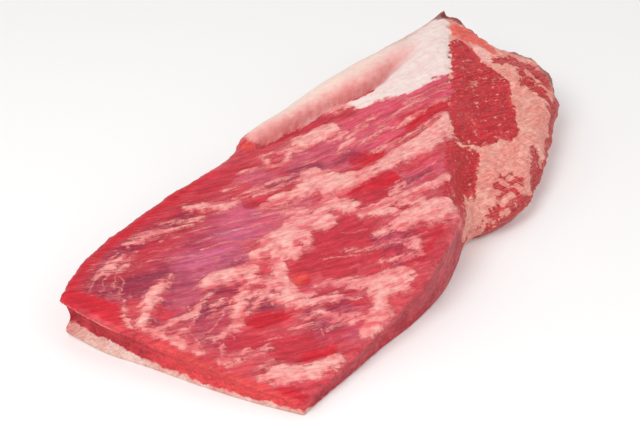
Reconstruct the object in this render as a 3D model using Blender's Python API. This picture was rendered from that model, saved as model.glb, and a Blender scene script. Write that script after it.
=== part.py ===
"""Raw whole beef brisket, lying on its fat cap with the rib side up.

The long flat muscle runs from the square-cut thin end (-X) to the thick end (+X). A seam of fat and
the point muscle lie under it at the thick end, and the fat cap lies under everything and rolls up
over the +Y side. All sizes below are millimetres, and the meshes are written in metres.
The origin is at the bottom, under the middle of the bounding box.
"""

import math

import bpy
import numpy as np

MM = 0.001

# Plan outline of the meat at its widest, seen from above
THIN_END = [(-196, -123), (-213, -86), (-228, -46), (-241, -5), (-254, 31), (-262, 69)]
CUT_SIDE = [
    (-196, -123), (-149, -118), (-105, -113), (-62, -110), (-19, -101), (16, -86),
    (43, -74), (70, -81), (98, -83), (124, -75), (153, -61), (197, -35), (240, -11),
]
THICK_END = [(240, -11), (258, 9), (265, 32), (260, 52), (246, 69), (238, 94), (235, 125)]
ROLL_SIDE = [
    (-262, 69), (-236, 87), (-200, 97), (-157, 103), (-112, 107), (-66, 111), (-44, 117),
    (-26, 125), (17, 126), (69, 127), (119, 127), (169, 124), (235, 125),
]

# Height of the upper face along its two long edges
ROLL_SIDE_HEIGHT = [(-262, 44), (-157, 48), (-63, 49), (17, 54), (69, 60), (119, 67), (169, 75), (235, 81)]
CUT_SIDE_HEIGHT = [(-262, 7), (-198, 12), (-125, 21), (-82, 29), (-56, 37), (-20, 47), (9, 52), (60, 60), (235, 68)]
CUT_SIDE_Y, ROLL_SIDE_Y = -115, 110
CROWN = [(-262, 0), (-180, 2), (-90, 5), (235, 5)]

# The slanting face where the thick end was cut free
END_CUT_FROM, END_CUT_TO = (9, -82), (186, 74)
STEEP_DROP = [(-12, 0), (0, 4), (16, 34), (40, 44), (90, 52), (130, 56)]
GENTLE_DROP = [(-14, 0), (0, 2), (20, 11), (55, 24), (90, 35), (130, 48)]
STEEP_UNTIL, GENTLE_FROM = 20, 150
POINT_SWELL = {"at": (222, 12), "radius": 34, "height": 6}

# The rolled edge of the fat cap on the +Y side
ROLL_START, ROLL_END = -38, 160
ROLL_WIDTH = [(-40, 21), (50, 26), (98, 38), (140, 30)]
ROLL_HEIGHT = 8
CREASE_WIDTH, CREASE_DEPTH = 4.5, 4
ROLL_WALL = [(-40, 12), (170, 12), (233, 5)]
LIP_WIDTH = [
    (-40, 23), (36, 28), (56, 44), (82, 56), (115, 63), (139, 70),
    (158, 74), (172, 62), (190, 46), (212, 27), (240, 5),
]
LIP_THICKNESS = 8

# Layers
CAP_ACROSS = [(-125, 3), (-60, 3.5), (-10, 5), (40, 9.5), (70, 11), (130, 12)]
CAP_EXTRA_AT_THICK_END = 4
SEAM_TOP = [(-20, -24), (30, 5), (43, 13), (60, 25), (90, 38), (128, 47), (163, 53), (184, 60), (205, 68), (260, 74)]
SEAM_THICKNESS = [(30, 6), (60, 14), (100, 20), (150, 27), (200, 34), (260, 38)]
LAYER_GAP = 0.3

# Edge rounding: how far it comes in, and how far it goes down, by place round the outline
TOP_ROUND = {
    "cut_side": [(-195, 4), (0, 6), (42, 10), (98, 18), (237, 18)],
    "thick_end": [(-13, 18), (50, 14), (92, 9), (124, 6)],
    "roll_side": [(-262, 5), (-45, 9), (-24, 13), (169, 13), (233, 6)],
    "thin_end": [(-121, 3), (64, 3)],
}
BOTTOM_ROUND = {
    "cut_side": [(-195, 2), (0, 3), (42, 7), (98, 14), (237, 15)],
    "thick_end": [(-13, 15), (50, 12), (124, 7)],
    "roll_side": [(-262, 8), (-200, 4), (-45, 5), (-24, 11), (169, 11), (233, 7)],
    "thin_end": [(-121, 1.5), (20, 1.5), (64, 6)],
}
MOST_ROUND_SHARE = 0.46

# How far the side comes in at half height; below zero it bulges out
SIDE_HOLLOW = {
    "cut_side": [(-195, 1), (-60, 1.5), (42, -1), (98, -3), (237, -4)],
    "thick_end": [(-13, -4), (50, -2), (124, 0)],
    "roll_side": [(-262, 4), (-45, 1), (-24, -2), (233, -2)],
    "thin_end": [(-121, 1.5), (0, 4), (64, 9)],
}

# Surface relief
GRAIN_TURN = [(-262, -31), (-60, -22), (90, -9), (262, -6)]
SEED = 7
# Fat and membrane left on the upper face (raised) and the bare lean between (sunk):
# x, y, half length, half width, turn in degrees, height
PATCHES = [
    (-215, 18, 24, 7, 35, 2.4), (-212, -4, 25, 3, -6, 1.4), (-225, -16, 15, 7, -25, 1),
    (-166, 3, 19, 8, -17, 1.6), (-178, -20, 18, 12, -40, 1.5), (-145, -31, 20, 10, -20, 1.6),
    (-105, -6, 30, 17, -12, 2), (-136, -5, 16, 15, -30, 1.6), (-180, -103, 26, 9, -20, 1.5),
    (-224, -40, 9, 4, -30, 1.2), (-18, 78, 24, 7, -12, 1.8), (30, 74, 28, 7, -4, 2),
    (70, -5, 46, 8, 4, 2), (5, -8, 30, 9, -4, 1.8), (-36, 14, 24, 8, -22, 1.6),
    (-4, -62, 28, 9, -12, 1.8), (-68, -98, 30, 12, -20, 2), (-100, -97, 20, 14, -30, 1.8),
    (-38, -84, 9, 4, -10, 1.2),
    (-72, -46, 38, 17, -12, -1.4), (-192, -54, 22, 9, -24, -1.2), (-156, -92, 22, 8, -22, -1.2),
    (60, 22, 30, 7, -6, -1.2), (-10, -32, 28, 7, -8, -1.2), (-205, 52, 24, 12, -30, -0.8),
]

# Mesh density
CELLS_ALONG, CELLS_ACROSS = 62, 30
TOP_ROUND_RINGS, SIDE_RINGS, BOTTOM_ROUND_RINGS = 2, 3, 2
LAYER_CELLS_ALONG, LAYER_CELLS_ACROSS = 46, 20
LIP_CELLS = 4
FAR_OUT = 60


def smooth_curve(at, stations):
    """Value at each place of a smooth curve through (place, value) stations, flat beyond the ends."""
    xs, ys = np.array(stations, float).T
    steps = np.diff(ys) / np.diff(xs)
    both = np.abs(steps[:-1] + steps[1:]) + 1e-9
    turns = steps[:-1] * steps[1:] <= 0
    inner = np.where(turns, 0, 2 * np.abs(steps[:-1] * steps[1:]) / both * np.sign(steps[1:]))
    slopes = np.concatenate([steps[:1], inner, steps[-1:]])
    at = np.clip(np.asarray(at, float), xs[0], xs[-1])
    k = np.clip(np.searchsorted(xs, at) - 1, 0, len(xs) - 2)
    width = xs[k + 1] - xs[k]
    t = (at - xs[k]) / width
    return (
        ys[k] * (2 * t**3 - 3 * t**2 + 1)
        + ys[k + 1] * (3 * t**2 - 2 * t**3)
        + slopes[k] * width * (t**3 - 2 * t**2 + t)
        + slopes[k + 1] * width * (t**3 - t**2)
    )


def smooth_step(value, start, end):
    t = np.clip((value - start) / (end - start), 0, 1)
    return t * t * (3 - 2 * t)


def spline_points(corners, count):
    """Points evenly spaced along a Catmull-Rom curve through the corners, its ends included."""
    c = np.array(corners, float)
    c = np.vstack([2 * c[0] - c[1], c, 2 * c[-1] - c[-2]])
    t = np.linspace(0, 1, 24, endpoint=False)[:, None]
    pieces = []
    for p0, p1, p2, p3 in zip(c, c[1:], c[2:], c[3:]):
        pieces.append(
            0.5 * (2 * p1 + (p2 - p0) * t + (2 * p0 - 5 * p1 + 4 * p2 - p3) * t**2
                   + (3 * p1 - p0 - 3 * p2 + p3) * t**3)
        )
    line = np.vstack([*pieces, c[-2]])
    along = np.concatenate([[0], np.cumsum(np.linalg.norm(np.diff(line, axis=0), axis=1))])
    even = np.linspace(0, along[-1], count)
    return np.stack([np.interp(even, along, line[:, k]) for k in (0, 1)], axis=1)


def lattice_value(ix, iy, iz, seed):
    """A repeatable random number from -1 to 1 for each lattice point."""
    mixed = (ix * 374761393 + iy * 668265263 + iz * 2147483647 + seed * 1274126177) & 0xFFFFFFFF
    mixed = ((mixed ^ (mixed >> 13)) * 1274126177) & 0xFFFFFFFF
    return ((mixed ^ (mixed >> 16)) & 0xFFFF) / 32767.5 - 1


def value_noise(x, y, z, seed):
    """Smooth noise from -1 to 1 with a wavelength of about 2 units."""
    cell = [np.floor(c).astype(np.int64) for c in (x, y, z)]
    part = [c - f for c, f in zip((x, y, z), cell)]
    ease = [p * p * (3 - 2 * p) for p in part]
    total = 0
    for corner in range(8):
        bits = [(corner >> k) & 1 for k in range(3)]
        weight = 1
        for e, b in zip(ease, bits):
            weight = weight * (e if b else 1 - e)
        total = total + weight * lattice_value(*[c + b for c, b in zip(cell, bits)], seed)
    return total


def left_outline_y(x):
    """The outline's y on the roll side at each x."""
    line = spline_points(ROLL_SIDE, 200)
    return np.interp(x, line[:, 0], line[:, 1])


def end_cut_place(x, y):
    """(distance along, distance past) the line where the slanting end face starts."""
    start, end = np.array(END_CUT_FROM, float), np.array(END_CUT_TO, float)
    line = (end - start) / np.linalg.norm(end - start)
    dx, dy = x - start[0], y - start[1]
    return dx * line[0] + dy * line[1], dx * line[1] - dy * line[0]


def roll_share(x):
    """1 where the fat roll is full, 0 where there is none."""
    return smooth_step(x, ROLL_START, ROLL_START + 18) * (1 - smooth_step(x, ROLL_END - 50, ROLL_END + 25))


def lean_face(x, y):
    """Height of the upper face over the plan, without the roll of fat, the edge rounding and the relief."""
    across = np.clip((y - CUT_SIDE_Y) / (ROLL_SIDE_Y - CUT_SIDE_Y), 0, 1)
    low, high = smooth_curve(x, CUT_SIDE_HEIGHT), smooth_curve(x, ROLL_SIDE_HEIGHT)
    z = low + (high - low) * across + smooth_curve(x, CROWN) * 4 * across * (1 - across)
    along, past = end_cut_place(x, y)
    gentle = smooth_step(along, STEEP_UNTIL, GENTLE_FROM)
    z = z - smooth_curve(past, STEEP_DROP) * (1 - gentle) - smooth_curve(past, GENTLE_DROP) * gentle
    swell = POINT_SWELL
    far = ((x - swell["at"][0]) ** 2 + (y - swell["at"][1]) ** 2) / swell["radius"] ** 2
    return z + swell["height"] * np.exp(-far)


def upper_face(x, y):
    """Height of the upper face with the rolled edge of the fat cap and the crease along it."""
    inward = left_outline_y(x) - y
    half = smooth_curve(x, ROLL_WIDTH) / 2
    ridge = np.sqrt(np.clip(1 - ((inward - half) / half) ** 2, 0, 1))
    crease = np.exp(-(((inward - 2 * half - 1) / CREASE_WIDTH) ** 2))
    return lean_face(x, y) + roll_share(x) * (ROLL_HEIGHT * ridge - CREASE_DEPTH * crease)


def grain_place(x, y):
    """(along, across) the muscle's grain, whose direction turns along the length."""
    xs = np.linspace(-280, 280, 113)
    turn = np.radians(smooth_curve(xs, GRAIN_TURN))
    rise = np.concatenate([[0], np.cumsum(np.tan((turn[1:] + turn[:-1]) / 2) * np.diff(xs))])
    return x, y - np.interp(x, xs, rise)


def relief(x, y, z):
    """How far the real surface stands out from the smooth one: broad swells and bundles along the grain."""
    along, across = grain_place(x, y)
    patches = 0
    for at_x, at_y, length, width, turn, height in PATCHES:
        c, s = math.cos(math.radians(turn)), math.sin(math.radians(turn))
        dx, dy = x - at_x, y - at_y
        out = ((dx * c + dy * s) / length) ** 2 + ((dy * c - dx * s) / width) ** 2
        patches = patches + height * (1 - smooth_step(out, 0.4, 1.8))
    patches = patches * smooth_step(z, 12, 20)
    swells = 1.6 * value_noise(x / 42, y / 36, z / 36, SEED)
    bundles = 0.9 * value_noise(along / 34, across / 9, z / 20, SEED + 1)
    lumps = 0.7 * value_noise(x / 17, y / 15, z / 12, SEED + 2)
    return swells + bundles + lumps + patches


def edge_values(table):
    """One number for each boundary point, in the order of boundary_loop."""
    cut = spline_points(CUT_SIDE, CELLS_ALONG + 1)
    thick = spline_points(THICK_END, CELLS_ACROSS + 1)
    roll = spline_points(ROLL_SIDE, CELLS_ALONG + 1)
    thin = spline_points(THIN_END, CELLS_ACROSS + 1)
    return np.concatenate([
        smooth_curve(cut[:-1, 0], table["cut_side"]),
        smooth_curve(thick[:-1, 1], table["thick_end"]),
        smooth_curve(roll[::-1][:-1, 0], table["roll_side"]),
        smooth_curve(thin[::-1][:-1, 1], table["thin_end"]),
    ])


def boundary_loop():
    """The outline as one loop of points, counterclockwise from the corner of the thin end and the cut side."""
    return np.vstack([
        spline_points(CUT_SIDE, CELLS_ALONG + 1)[:-1],
        spline_points(THICK_END, CELLS_ACROSS + 1)[:-1],
        spline_points(ROLL_SIDE, CELLS_ALONG + 1)[::-1][:-1],
        spline_points(THIN_END, CELLS_ACROSS + 1)[::-1][:-1],
    ])


def inward_normals(loop):
    tangent = np.roll(loop, -1, axis=0) - np.roll(loop, 1, axis=0)
    tangent /= np.linalg.norm(tangent, axis=1)[:, None]
    return np.stack([-tangent[:, 1], tangent[:, 0]], axis=1)


def patch_inside(loop):
    """A grid of plan points that fills a boundary loop, as a Coons patch: [along, across]."""
    n, m = CELLS_ALONG, CELLS_ACROSS
    cut, thick = loop[: n + 1], loop[n : n + m + 1]
    roll = loop[n + m : 2 * n + m + 1][::-1]
    thin = np.vstack([loop[2 * n + m :], loop[:1]])[::-1]
    u, v = np.linspace(0, 1, n + 1)[:, None, None], np.linspace(0, 1, m + 1)[None, :, None]
    ruled = (1 - v) * cut[:, None] + v * roll[:, None] + (1 - u) * thin[None] + u * thick[None]
    corners = (
        (1 - u) * (1 - v) * cut[0] + (1 - u) * v * roll[0] + u * (1 - v) * cut[-1] + u * v * roll[-1]
    )
    return ruled - corners


def grid_border(n, m):
    """(i, j) of the grid points round the edge of an n by m grid of cells, in the order of boundary_loop."""
    return (
        [(i, 0) for i in range(n)]
        + [(n, j) for j in range(m)]
        + [(i, m) for i in range(n, 0, -1)]
        + [(0, j) for j in range(m, 0, -1)]
    )


def grid_faces(n, m):
    """Quads of an n by m grid of cells whose points are numbered row by row, facing +Z."""
    return [
        [i * (m + 1) + j, (i + 1) * (m + 1) + j, (i + 1) * (m + 1) + j + 1, i * (m + 1) + j + 1]
        for i in range(n)
        for j in range(m)
    ]


def band_faces(upper, lower):
    """Quads between two counterclockwise loops of point numbers, facing outwards."""
    return [
        [upper[k], lower[k], lower[(k + 1) % len(upper)], upper[(k + 1) % len(upper)]]
        for k in range(len(upper))
    ]


def side_rings(loop, top_z):
    """Rings of points from just below the upper face's edge down to the bottom face's edge."""
    inward = inward_normals(loop)
    top_in, bottom_in = edge_values(TOP_ROUND), edge_values(BOTTOM_ROUND)
    top_down = np.minimum(top_in, top_z * MOST_ROUND_SHARE)
    bottom_up = np.minimum(bottom_in, top_z * MOST_ROUND_SHARE)
    hollow = edge_values(SIDE_HOLLOW)
    rings = []
    for k in range(1, TOP_ROUND_RINGS + 1):
        angle = math.pi / 2 * k / TOP_ROUND_RINGS
        inset, z = top_in * (1 - math.sin(angle)), top_z - top_down * (1 - math.cos(angle))
        rings.append((inset, z))
    for k in range(1, SIDE_RINGS):
        share = k / SIDE_RINGS
        z = (top_z - top_down) * (1 - share) + bottom_up * share
        rings.append((hollow * 4 * share * (1 - share), z))
    for k in range(0, BOTTOM_ROUND_RINGS):
        angle = math.pi / 2 * k / BOTTOM_ROUND_RINGS
        inset, z = bottom_in * (1 - math.cos(angle)), bottom_up * (1 - math.sin(angle))
        rings.append((inset, z))
    return [np.column_stack([loop + inward * inset[:, None], z]) for inset, z in rings]


def brisket_surface():
    """(points, faces) of the whole brisket's closed outer surface, in millimetres."""
    loop = boundary_loop()
    inward = inward_normals(loop)
    n, m = CELLS_ALONG, CELLS_ACROSS
    border = grid_border(n, m)
    top_plan = patch_inside(loop + inward * edge_values(TOP_ROUND)[:, None])
    top = np.dstack([top_plan, upper_face(top_plan[..., 0], top_plan[..., 1])])
    rings = side_rings(loop, np.array([top[i, j, 2] for i, j in border]))
    rest = np.column_stack([loop + inward * edge_values(BOTTOM_ROUND)[:, None], 0 * loop[:, 0]])
    blocks = [top.reshape(-1, 3), *rings, rest]
    starts = np.cumsum([0] + [len(b) for b in blocks])
    faces = grid_faces(n, m)
    loops = [[i * (m + 1) + j for i, j in border]]
    loops += [list(range(starts[k], starts[k + 1])) for k in range(1, len(blocks))]
    for upper, lower in zip(loops, loops[1:]):
        faces += band_faces(upper, lower)
    faces.append(loops[-1][::-1])
    return np.vstack(blocks), faces


def split_quads(faces):
    """Each quad as two triangles along its first diagonal, so that every cut stays flat."""
    split = []
    for face in faces:
        split += [[face[0], face[1], face[2]], [face[0], face[2], face[3]]] if len(face) == 4 else [face]
    return split


def mesh_object(name, points, faces):
    mesh = bpy.data.meshes.new(name)
    faces = [list(map(int, face)) for face in split_quads(faces)]
    mesh.from_pydata((np.asarray(points) * MM).tolist(), [], faces)
    mesh.validate()
    obj = bpy.data.objects.new(name, mesh)
    bpy.context.scene.collection.objects.link(obj)
    return obj


def with_relief(points, faces):
    """The surface pushed out along its own normals by the relief, with the bottom face kept flat."""
    guide = mesh_object("relief_guide", points, faces)
    normals = np.array([v.normal for v in guide.data.vertices])
    bpy.data.objects.remove(guide)
    lift = smooth_step(points[:, 2], 2, 12)
    moved = points + normals * (relief(*points.T) * lift)[:, None]
    return moved


def cap_top(x, y):
    """Height of the fat cap's upper side, which the lean rests on."""
    return smooth_curve(y, CAP_ACROSS) + CAP_EXTRA_AT_THICK_END * smooth_step(x, -60, 160)


def seam_top(x, y):
    """Height of the upper side of the fat seam. It dives under the cap's upper side before its start."""
    return smooth_curve(x, SEAM_TOP) + 0 * y


def seam_bottom(x, y):
    return seam_top(x, y) - smooth_curve(x, SEAM_THICKNESS)


def layer_grid():
    """Plan points shared by all layer surfaces, as x[along, across] and y, with y as far as the fat wall."""
    x = np.linspace(-262 - FAR_OUT, 262 + FAR_OUT, LAYER_CELLS_ALONG + 1)[:, None]
    across = np.linspace(0, 1, LAYER_CELLS_ACROSS + 1)[None, :]
    near = -130 - FAR_OUT
    return x + 0 * across, near + (wall_y(x) - near) * across


def has_wall(x):
    return smooth_step(x, ROLL_START, ROLL_START + 14)


def wall_y(x):
    """The lean's limit on the roll side: inside the fat wall, and clear of the meat where there is none."""
    return left_outline_y(x) + FAR_OUT - (smooth_curve(x, ROLL_WALL) + FAR_OUT) * has_wall(x)


def closed_block(name, low, high):
    """A closed block between two grids of points [along, across, xyz]."""
    n, m = low.shape[0] - 1, low.shape[1] - 1
    below = len(high.reshape(-1, 3))
    faces = grid_faces(n, m)
    faces += [[below + q for q in reversed(face)] for face in grid_faces(n, m)]
    ring = [i * (m + 1) + j for i, j in grid_border(n, m)]
    faces += band_faces(ring, [below + q for q in ring])
    cutter = mesh_object(name, np.vstack([high.reshape(-1, 3), low.reshape(-1, 3)]), faces)
    cutter.hide_render = True
    cutter.display_type = "WIRE"
    return cutter


def height_block(name, low, high):
    """A closed block between two height functions over the shared plan points, reaching past the wall."""
    x, y = layer_grid()
    y[:, -1] += 2
    return closed_block(name, np.dstack([x, y, low(x, y)]), np.dstack([x, y, high(x, y)]))


def lean_block(name, gap):
    """The space inside the fat cap, less a gap: above its upper side, inside its wall and under its lip."""
    x, y = layer_grid()
    low = np.dstack([x, y, cap_top(x, y) + gap])
    low[:, -1, 1] -= gap
    xs, wall = x[:, 0], y[:, -1]
    lid = 130 + 0 * xs
    walled = has_wall(xs)
    clear_y = left_outline_y(xs) + FAR_OUT - 20
    edge_y = clear_y - (smooth_curve(xs, LIP_WIDTH) + FAR_OUT - 20) * walled
    rows = [(0 * xs - 130 - FAR_OUT, lid), (edge_y - 2 - gap, lid)]
    for share in np.linspace(0, 1, LIP_CELLS + 1):
        row_y = edge_y + (wall - edge_y) * share
        under = lean_face(xs, row_y) - LIP_THICKNESS
        back = gap * (share in (0, 1))
        rows.append((row_y - back, lid + (under - lid) * walled - gap))
    high = np.stack([np.stack([xs, row_y, row_z], axis=1) for row_y, row_z in rows], axis=1)
    return walled_block(name, low, high)


def walled_block(name, low, high):
    """A closed block from lofted sections: floor points across, then the lid's points back again."""
    stations = len(low)
    sections = [np.vstack([low[i], high[i][::-1]]) for i in range(stations)]
    size = len(sections[0])
    faces = []
    for i in range(stations - 1):
        here, there = i * size, (i + 1) * size
        for k in range(size):
            after = (k + 1) % size
            faces.append([here + k, here + after, there + after, there + k])
    faces.append(list(range(size))[::-1])
    faces.append([(stations - 1) * size + k for k in range(size)])
    cutter = mesh_object(name, np.vstack(sections), faces)
    cutter.hide_render = True
    cutter.display_type = "WIRE"
    return cutter


def cut_to(obj, cutter, operation):
    """Replace the object's mesh by the result of one Boolean with the cutter."""
    cut = obj.modifiers.new("layer", "BOOLEAN")
    cut.operation = operation
    cut.object = cutter
    cut.solver = "EXACT"
    bpy.context.view_layer.update()
    graph = bpy.context.evaluated_depsgraph_get()
    made = bpy.data.meshes.new_from_object(obj.evaluated_get(graph))
    obj.modifiers.clear()
    obj.data = made


def layer(name, surface, cuts, finish):
    """One layer: the brisket's outer surface after its list of (cutter, operation)."""
    obj = mesh_object(name, *surface)
    for cutter, operation in cuts:
        cut_to(obj, cutter, operation)
    obj.data.shade_smooth()
    obj.data.set_sharp_from_angle(angle=math.radians(40))
    obj.data.materials.clear()
    obj.data.materials.append(finish)
    return obj


def material(name, colour, roughness):
    made = bpy.data.materials.new(name)
    made.use_nodes = True
    shader = made.node_tree.nodes["Principled BSDF"]
    shader.inputs["Base Color"].default_value = (*colour, 1)
    shader.inputs["Roughness"].default_value = roughness
    shader.inputs["Metallic"].default_value = 0
    return made


def main():
    for obj in list(bpy.data.objects):
        bpy.data.objects.remove(obj)
    points, faces = brisket_surface()
    surface = (with_relief(points, faces), faces)
    middle = (surface[0].min(axis=0) + surface[0].max(axis=0)) / 2

    cap_side = lean_block("inside_cap", 0)
    lean = lean_block("lean_space", LAYER_GAP)
    under_flat = height_block("under_flat", lambda x, y: 0 * x - 90, lambda x, y: seam_top(x, y) + LAYER_GAP)
    seam = height_block("seam_space", lambda x, y: seam_bottom(x, y) + LAYER_GAP, seam_top)
    under_seam = height_block("under_seam", lambda x, y: 0 * x - 120, seam_bottom)

    cap = layer("fat_cap", surface, [(cap_side, "DIFFERENCE")], material("cap_fat", (0.86, 0.66, 0.60), 0.45))
    flat = layer("flat_muscle", surface, [(lean, "INTERSECT"), (under_flat, "DIFFERENCE")],
                 material("flat_lean", (0.52, 0.06, 0.07), 0.4))
    fat = layer("fat_seam", surface, [(lean, "INTERSECT"), (seam, "INTERSECT")],
                material("seam_fat", (0.84, 0.45, 0.36), 0.45))
    point = layer("point_muscle", surface, [(lean, "INTERSECT"), (under_seam, "INTERSECT")],
                  material("point_lean", (0.42, 0.05, 0.05), 0.4))
    for obj in (cap, flat, fat, point):
        for vertex in obj.data.vertices:
            vertex.co.x -= middle[0] * MM
            vertex.co.y -= middle[1] * MM


main()
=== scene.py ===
"""Looks for the raw whole beef brisket: the skin of lean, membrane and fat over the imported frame.

Each CAD layer is replaced by a finer mesh of the same form, cut from one outer surface, with the
ragged fat, fibres and strands as relief. Sizes are millimetres in the part's own plan, with +X to the
thick end and +Y to the rolled fat, and are turned to metres when a mesh is made.
"""

import math

import bpy
import numpy as np
from mathutils import Matrix, Vector


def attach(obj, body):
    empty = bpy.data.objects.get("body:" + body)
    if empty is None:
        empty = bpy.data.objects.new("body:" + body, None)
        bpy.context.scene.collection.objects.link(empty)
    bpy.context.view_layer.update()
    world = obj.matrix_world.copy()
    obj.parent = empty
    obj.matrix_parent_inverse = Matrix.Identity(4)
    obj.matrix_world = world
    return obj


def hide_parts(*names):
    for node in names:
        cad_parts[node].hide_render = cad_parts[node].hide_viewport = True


MM = 0.001

# Outline of the meat at its widest, seen from above, as in the part
THIN_END = [(-196, -123), (-213, -86), (-228, -46), (-241, -5), (-254, 31), (-262, 69)]
CUT_SIDE = [
    (-196, -123), (-149, -118), (-105, -113), (-62, -110), (-19, -101), (16, -86),
    (43, -74), (70, -81), (98, -83), (124, -75), (153, -61), (197, -35), (240, -11),
]
THICK_END = [(240, -11), (258, 9), (265, 32), (260, 52), (246, 69), (238, 94), (235, 125)]
ROLL_SIDE = [
    (-262, 69), (-236, 87), (-200, 97), (-157, 103), (-112, 107), (-66, 111), (-44, 117),
    (-26, 125), (17, 126), (69, 127), (119, 127), (169, 124), (235, 125),
]
ROLL_SIDE_HEIGHT = [
    (-262, 44), (-157, 48), (-63, 49), (17, 54), (69, 60), (119, 67), (169, 75), (235, 81),
]
CUT_SIDE_HEIGHT = [
    (-262, 7), (-198, 12), (-125, 21), (-82, 29), (-56, 37), (-20, 47), (9, 52), (60, 60), (235, 68),
]
CUT_SIDE_Y, ROLL_SIDE_Y = -115, 110
CROWN = [(-262, 0), (-180, 2), (-90, 5), (235, 5)]

# The slanting face where the thick end was cut free
END_CUT_FROM, END_CUT_TO = (9, -82), (186, 74)
STEEP_DROP = [(-12, 0), (0, 4), (16, 34), (40, 44), (90, 52), (130, 56)]
GENTLE_DROP = [(-14, 0), (0, 2), (20, 11), (55, 24), (90, 35), (130, 48)]
STEEP_UNTIL, GENTLE_FROM = 20, 150
POINT_SWELL = {"at": (222, 12), "radius": 34, "height": 6}

# The rolled edge of the fat cap
ROLL_START, ROLL_END = -38, 160
ROLL_WIDTH = [(-40, 21), (50, 26), (98, 38), (140, 30)]
ROLL_HEIGHT = 8
CREASE_WIDTH, CREASE_DEPTH = 4.5, 4
ROLL_WALL = [(-40, 12), (170, 12), (233, 5)]
LIP_WIDTH = [
    (-40, 23), (36, 28), (56, 44), (82, 56), (115, 63), (139, 70),
    (158, 74), (172, 62), (190, 46), (212, 27), (240, 5),
]
LIP_THICKNESS = 8

# Layers
CAP_ACROSS = [(-125, 3), (-60, 3.5), (-10, 5), (40, 9.5), (70, 11), (130, 12)]
CAP_EXTRA_AT_THICK_END = 4
SEAM_TOP = [
    (-20, -24), (30, 5), (43, 13), (60, 25), (90, 38), (128, 47), (163, 53), (184, 60), (205, 68),
    (260, 74),
]
SEAM_THICKNESS = [(30, 6), (60, 14), (100, 20), (150, 27), (200, 34), (260, 38)]

# Edge rounding and hollows of the side, by place round the outline
TOP_ROUND = {
    "cut_side": [(-195, 4), (0, 6), (42, 10), (98, 18), (237, 18)],
    "thick_end": [(-13, 18), (50, 14), (92, 9), (124, 6)],
    "roll_side": [(-262, 5), (-45, 9), (-24, 13), (169, 13), (233, 6)],
    "thin_end": [(-121, 3), (64, 3)],
}
BOTTOM_ROUND = {
    "cut_side": [(-195, 2), (0, 3), (42, 7), (98, 14), (237, 15)],
    "thick_end": [(-13, 15), (50, 12), (124, 7)],
    "roll_side": [(-262, 8), (-200, 4), (-45, 5), (-24, 11), (169, 11), (233, 7)],
    "thin_end": [(-121, 1.5), (20, 1.5), (64, 6)],
}
MOST_ROUND_SHARE = 0.46
SIDE_HOLLOW = {
    "cut_side": [(-195, 1), (-60, 1.5), (42, -1), (98, -3), (237, -4)],
    "thick_end": [(-13, -4), (50, -2), (124, 0)],
    "roll_side": [(-262, 4), (-45, 1), (-24, -2), (233, -2)],
    "thin_end": [(-121, 1.5), (0, 4), (64, 9)],
}

# Broad relief, as in the part
GRAIN_TURN = [(-262, -31), (-60, -22), (90, -9), (262, -6)]
SEED = 7
PATCHES = [
    (-215, 18, 24, 7, 35, 2.4), (-212, -4, 25, 3, -6, 1.4), (-225, -16, 15, 7, -25, 1),
    (-166, 3, 19, 8, -17, 1.6), (-178, -20, 18, 12, -40, 1.5), (-145, -31, 20, 10, -20, 1.6),
    (-105, -6, 30, 17, -12, 2), (-136, -5, 16, 15, -30, 1.6), (-180, -103, 26, 9, -20, 1.5),
    (-224, -40, 9, 4, -30, 1.2), (-18, 78, 24, 7, -12, 1.8), (30, 74, 28, 7, -4, 2),
    (70, -5, 46, 8, 4, 2), (5, -8, 30, 9, -4, 1.8), (-36, 14, 24, 8, -22, 1.6),
    (-4, -62, 28, 9, -12, 1.8), (-68, -98, 30, 12, -20, 2), (-100, -97, 20, 14, -30, 1.8),
    (-38, -84, 9, 4, -10, 1.2),
    (-72, -46, 38, 17, -12, -1.4), (-192, -54, 22, 9, -24, -1.2), (-156, -92, 22, 8, -22, -1.2),
    (60, 22, 30, 7, -6, -1.2), (-10, -32, 28, 7, -8, -1.2), (-205, 52, 24, 12, -30, -0.8),
]

# The camera that the photograph fits
CAMERA_AZIMUTH, CAMERA_ELEVATION = -45, 35
CAMERA_DISTANCE, CAMERA_LENS, CAMERA_SENSOR = 1168, 80, 36
CAMERA_TARGET = (-39.9, 16.5, 30)
PHOTO_WIDTH, PHOTO_HEIGHT = 640, 427

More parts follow.
